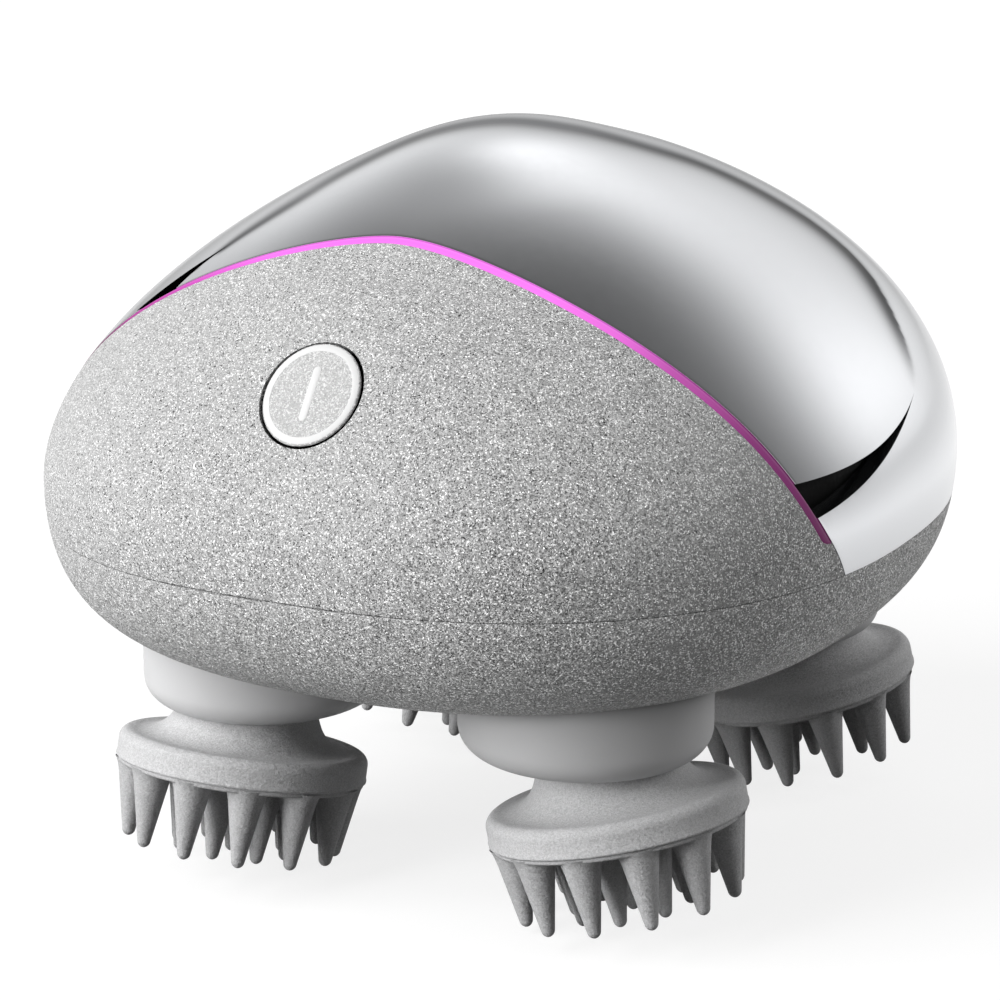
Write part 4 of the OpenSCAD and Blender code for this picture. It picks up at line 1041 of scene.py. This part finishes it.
def fingerPad(name, matrix):
    # made in the head's own frame and then put in place
    reach = head["radius"] - disc["inset"]
    edge = arc(reach - disc["round"], disc["thick"] - disc["round"], disc["round"], 0, 90, 6)
    mesh = latheMesh(name, [(0, disc["back"]), (reach, disc["back"])] + edge + [(0, disc["thick"])])
    mesh.transform(Matrix.Translation((0, 0, (disc["root"] - disc["thick"]) * mm)))
    carrier = standing(name + "Nodes", mesh)
    step = carrier.modifiers.new("fingers", "NODES")
    step.node_group = fingerRings
    for key, value in fingers.items():
        step[sockets[key]] = value
    step[sockets["Material"]] = finishes["silicone"]
    mesh = evaluatedMesh(carrier)
    bpy.data.objects.remove(carrier)
    mesh.transform(matrix @ Matrix.Translation((0, 0, (rimU + disc["thick"] - disc["root"]) * mm)))
    return finishMesh(name, mesh, finishes["silicone"], meshing["headSharp"])


for corner, (side, end, lean) in heads["corners"].items():
    x, y = headPlace(side, end)
    bodyName = "head_" + corner
    hubMesh = latheMesh("hub_" + corner, hubProfile(), hub["steps"])
    hubPiece = inFrame("hub_" + corner, hubMesh, upright(x, y), finishes["satin_grey"], meshing["headSharp"])
    place(hubPiece, bodyName, "satin_grey", "drive_hub_" + corner)
    leanTurn = Matrix.Rotation(math.radians(lean), 4, "Z")
    tiltTurn = Matrix.Rotation(math.pi - tilt, 4, "Y")
    headFrame = Matrix.Translation(overParting((x, y, -pivot))) @ leanTurn @ tiltTurn
    headPiece = finishMesh("head_" + corner, headMesh("head_" + corner, headFrame), finishes["head_grey"],
                           meshing["headSharp"])
    place(headPiece, bodyName, "head_grey", "massage_head_" + corner)
    padPiece = fingerPad("fingerPad_" + corner, headFrame)
    place(padPiece, bodyName, "silicone", "finger_pad_" + corner)
print("heads made,", len(padPiece.data.polygons), "faces on one pad")

# studio: white floor with a soft shadow, four soft lamps and a world that is bright behind and dim in front
studio = {"size": 6.0, "drop": 0.0002, "lit": 0.22, "bounce": 0.13, "dim": (0.12, 0.05),
          # light of the floor by distance in metres, as seen and as mirrored; the mirrored floor is darker
          # near the object, a painted shadow in reflections
          "glow": [(0, 0.80), (0.2, 0.84), (0.6, 1.0)],
          "mirrored": [(0, 0.55), (0.12, 0.78), (0.24, 1.05), (0.5, 0.88), (1, 0.8)],
          "lamps": {"keyLamp": {"az": -40, "el": 33, "far": 1.0, "size": 0.9, "power": 14.4},
                    "lowLamp": {"az": -25, "el": 12, "far": 1.0, "size": 0.35, "power": 4.2},
                    "rightLamp": {"az": 90, "el": 55, "far": 1.0, "size": 0.5, "power": 0.8},
                    "rimLamp": {"az": 120, "el": 22, "far": 1.0, "size": 0.4, "power": 2.6}},
          "panels": [{"az": 162, "el": 17, "sharp": 10.9, "level": 1.57},
                     {"az": 169, "el": 17.5, "sharp": 30, "level": -0.6},
                     {"az": -155, "el": 50, "sharp": 45, "level": 0.85},
                     {"az": -174, "el": 43, "sharp": 36, "level": 0.5},
                     {"az": -138, "el": 23, "sharp": 10.6, "level": 0.8}]}
floorMesh = bpy.data.meshes.new("floor")
floorCorners = [(x * studio["size"], y * studio["size"], -studio["drop"])
                for x, y in ((-1, -1), (1, -1), (1, 1), (-1, 1))]
floorMesh.from_pydata(floorCorners, [], [(0, 1, 2, 3)])
floor = standing("floor", floorMesh)
floorMaterial, floorTree, shader = newMaterial("paleFloor")
floorTree.nodes.remove(shader)
reach = vectorMaths(floorTree, "LENGTH", objectPlace(floorTree))


def floorShader(kind, *values):
    node = floorTree.nodes.new("ShaderNode" + kind)
    for socket, value in zip(node.inputs, values):
        plug(floorTree, socket, value)
    return node.outputs[0]


def ringLight(stops):
    return floorShader("Emission", ramp(floorTree, reach, [(at, grey(level)) for at, level in stops]))


def dullPaint(level):
    return floorShader("BsdfDiffuse", (*grey(level), 1))


rays = floorTree.nodes.new("ShaderNodeLightPath").outputs
seen = floorShader("AddShader", ringLight(studio["glow"]), dullPaint(studio["lit"]))
# in reflections the floor glows by distance, darker near the object as a painted shadow
unseen = floorShader("MixShader", rays["Is Glossy Ray"], dullPaint(studio["bounce"]),
                     ringLight(studio["mirrored"]))
surface = floorShader("MixShader", rays["Is Camera Ray"], unseen, seen)
feed(floorTree, floorTree.nodes["Material Output"], {"Surface": surface})
floorMesh.materials.append(floorMaterial)


def towards(look):
    # direction by angle from the front, positive to the right, and height angle
    az, el = math.radians(look["az"]), math.radians(look["el"])
    return Vector((math.cos(el) * math.sin(az), -math.cos(el) * math.cos(az), math.sin(el)))


aim = overParting((0, 0, 0))
for lampName, lampLook in studio["lamps"].items():
    lampData = bpy.data.lights.new(lampName, "AREA")
    lampData.shape = "DISK"
    lampData.size = lampLook["size"]
    lampData.energy = lampLook["power"]
    lamp = aimed(lampName, lampData, aim + lampLook["far"] * towards(lampLook), aim)
    lamp.visible_glossy = False

# soft light panels behind the object, each fading away from its middle, over a dim room
world = bpy.data.worlds.new("studioWorld")
bpy.context.scene.world = world
world.use_nodes = True
skyTree = world.node_tree
way = skyTree.nodes.new("ShaderNodeTexCoord").outputs["Generated"]
rays = skyTree.nodes.new("ShaderNodeLightPath").outputs
dimMirrored, dimRoom = studio["dim"]
sky = maths(skyTree, "MULTIPLY_ADD", rays["Is Glossy Ray"], dimMirrored - dimRoom, dimRoom)
for panelLook in studio["panels"]:
    near = vectorMaths(skyTree, "DOT_PRODUCT", way, tuple(towards(panelLook)))
    fall = maths(skyTree, "MULTIPLY_ADD", near, panelLook["sharp"], -panelLook["sharp"])
    sky = maths(skyTree, "MULTIPLY_ADD", maths(skyTree, "EXPONENT", fall), panelLook["level"], sky)
sky = maths(skyTree, "MAXIMUM", sky, 0.0)
backdrop = skyTree.nodes.new("ShaderNodeMix")
backdrop.data_type = "RGBA"
feed(skyTree, backdrop, {"Factor": rays["Is Camera Ray"], "A": sky, "B": (1, 1, 1, 1)})
feed(skyTree, skyTree.nodes["Background"], {"Color": backdrop.outputs["Result"]})
bpy.context.scene.view_settings.view_transform = "Standard"
print("studio ready")
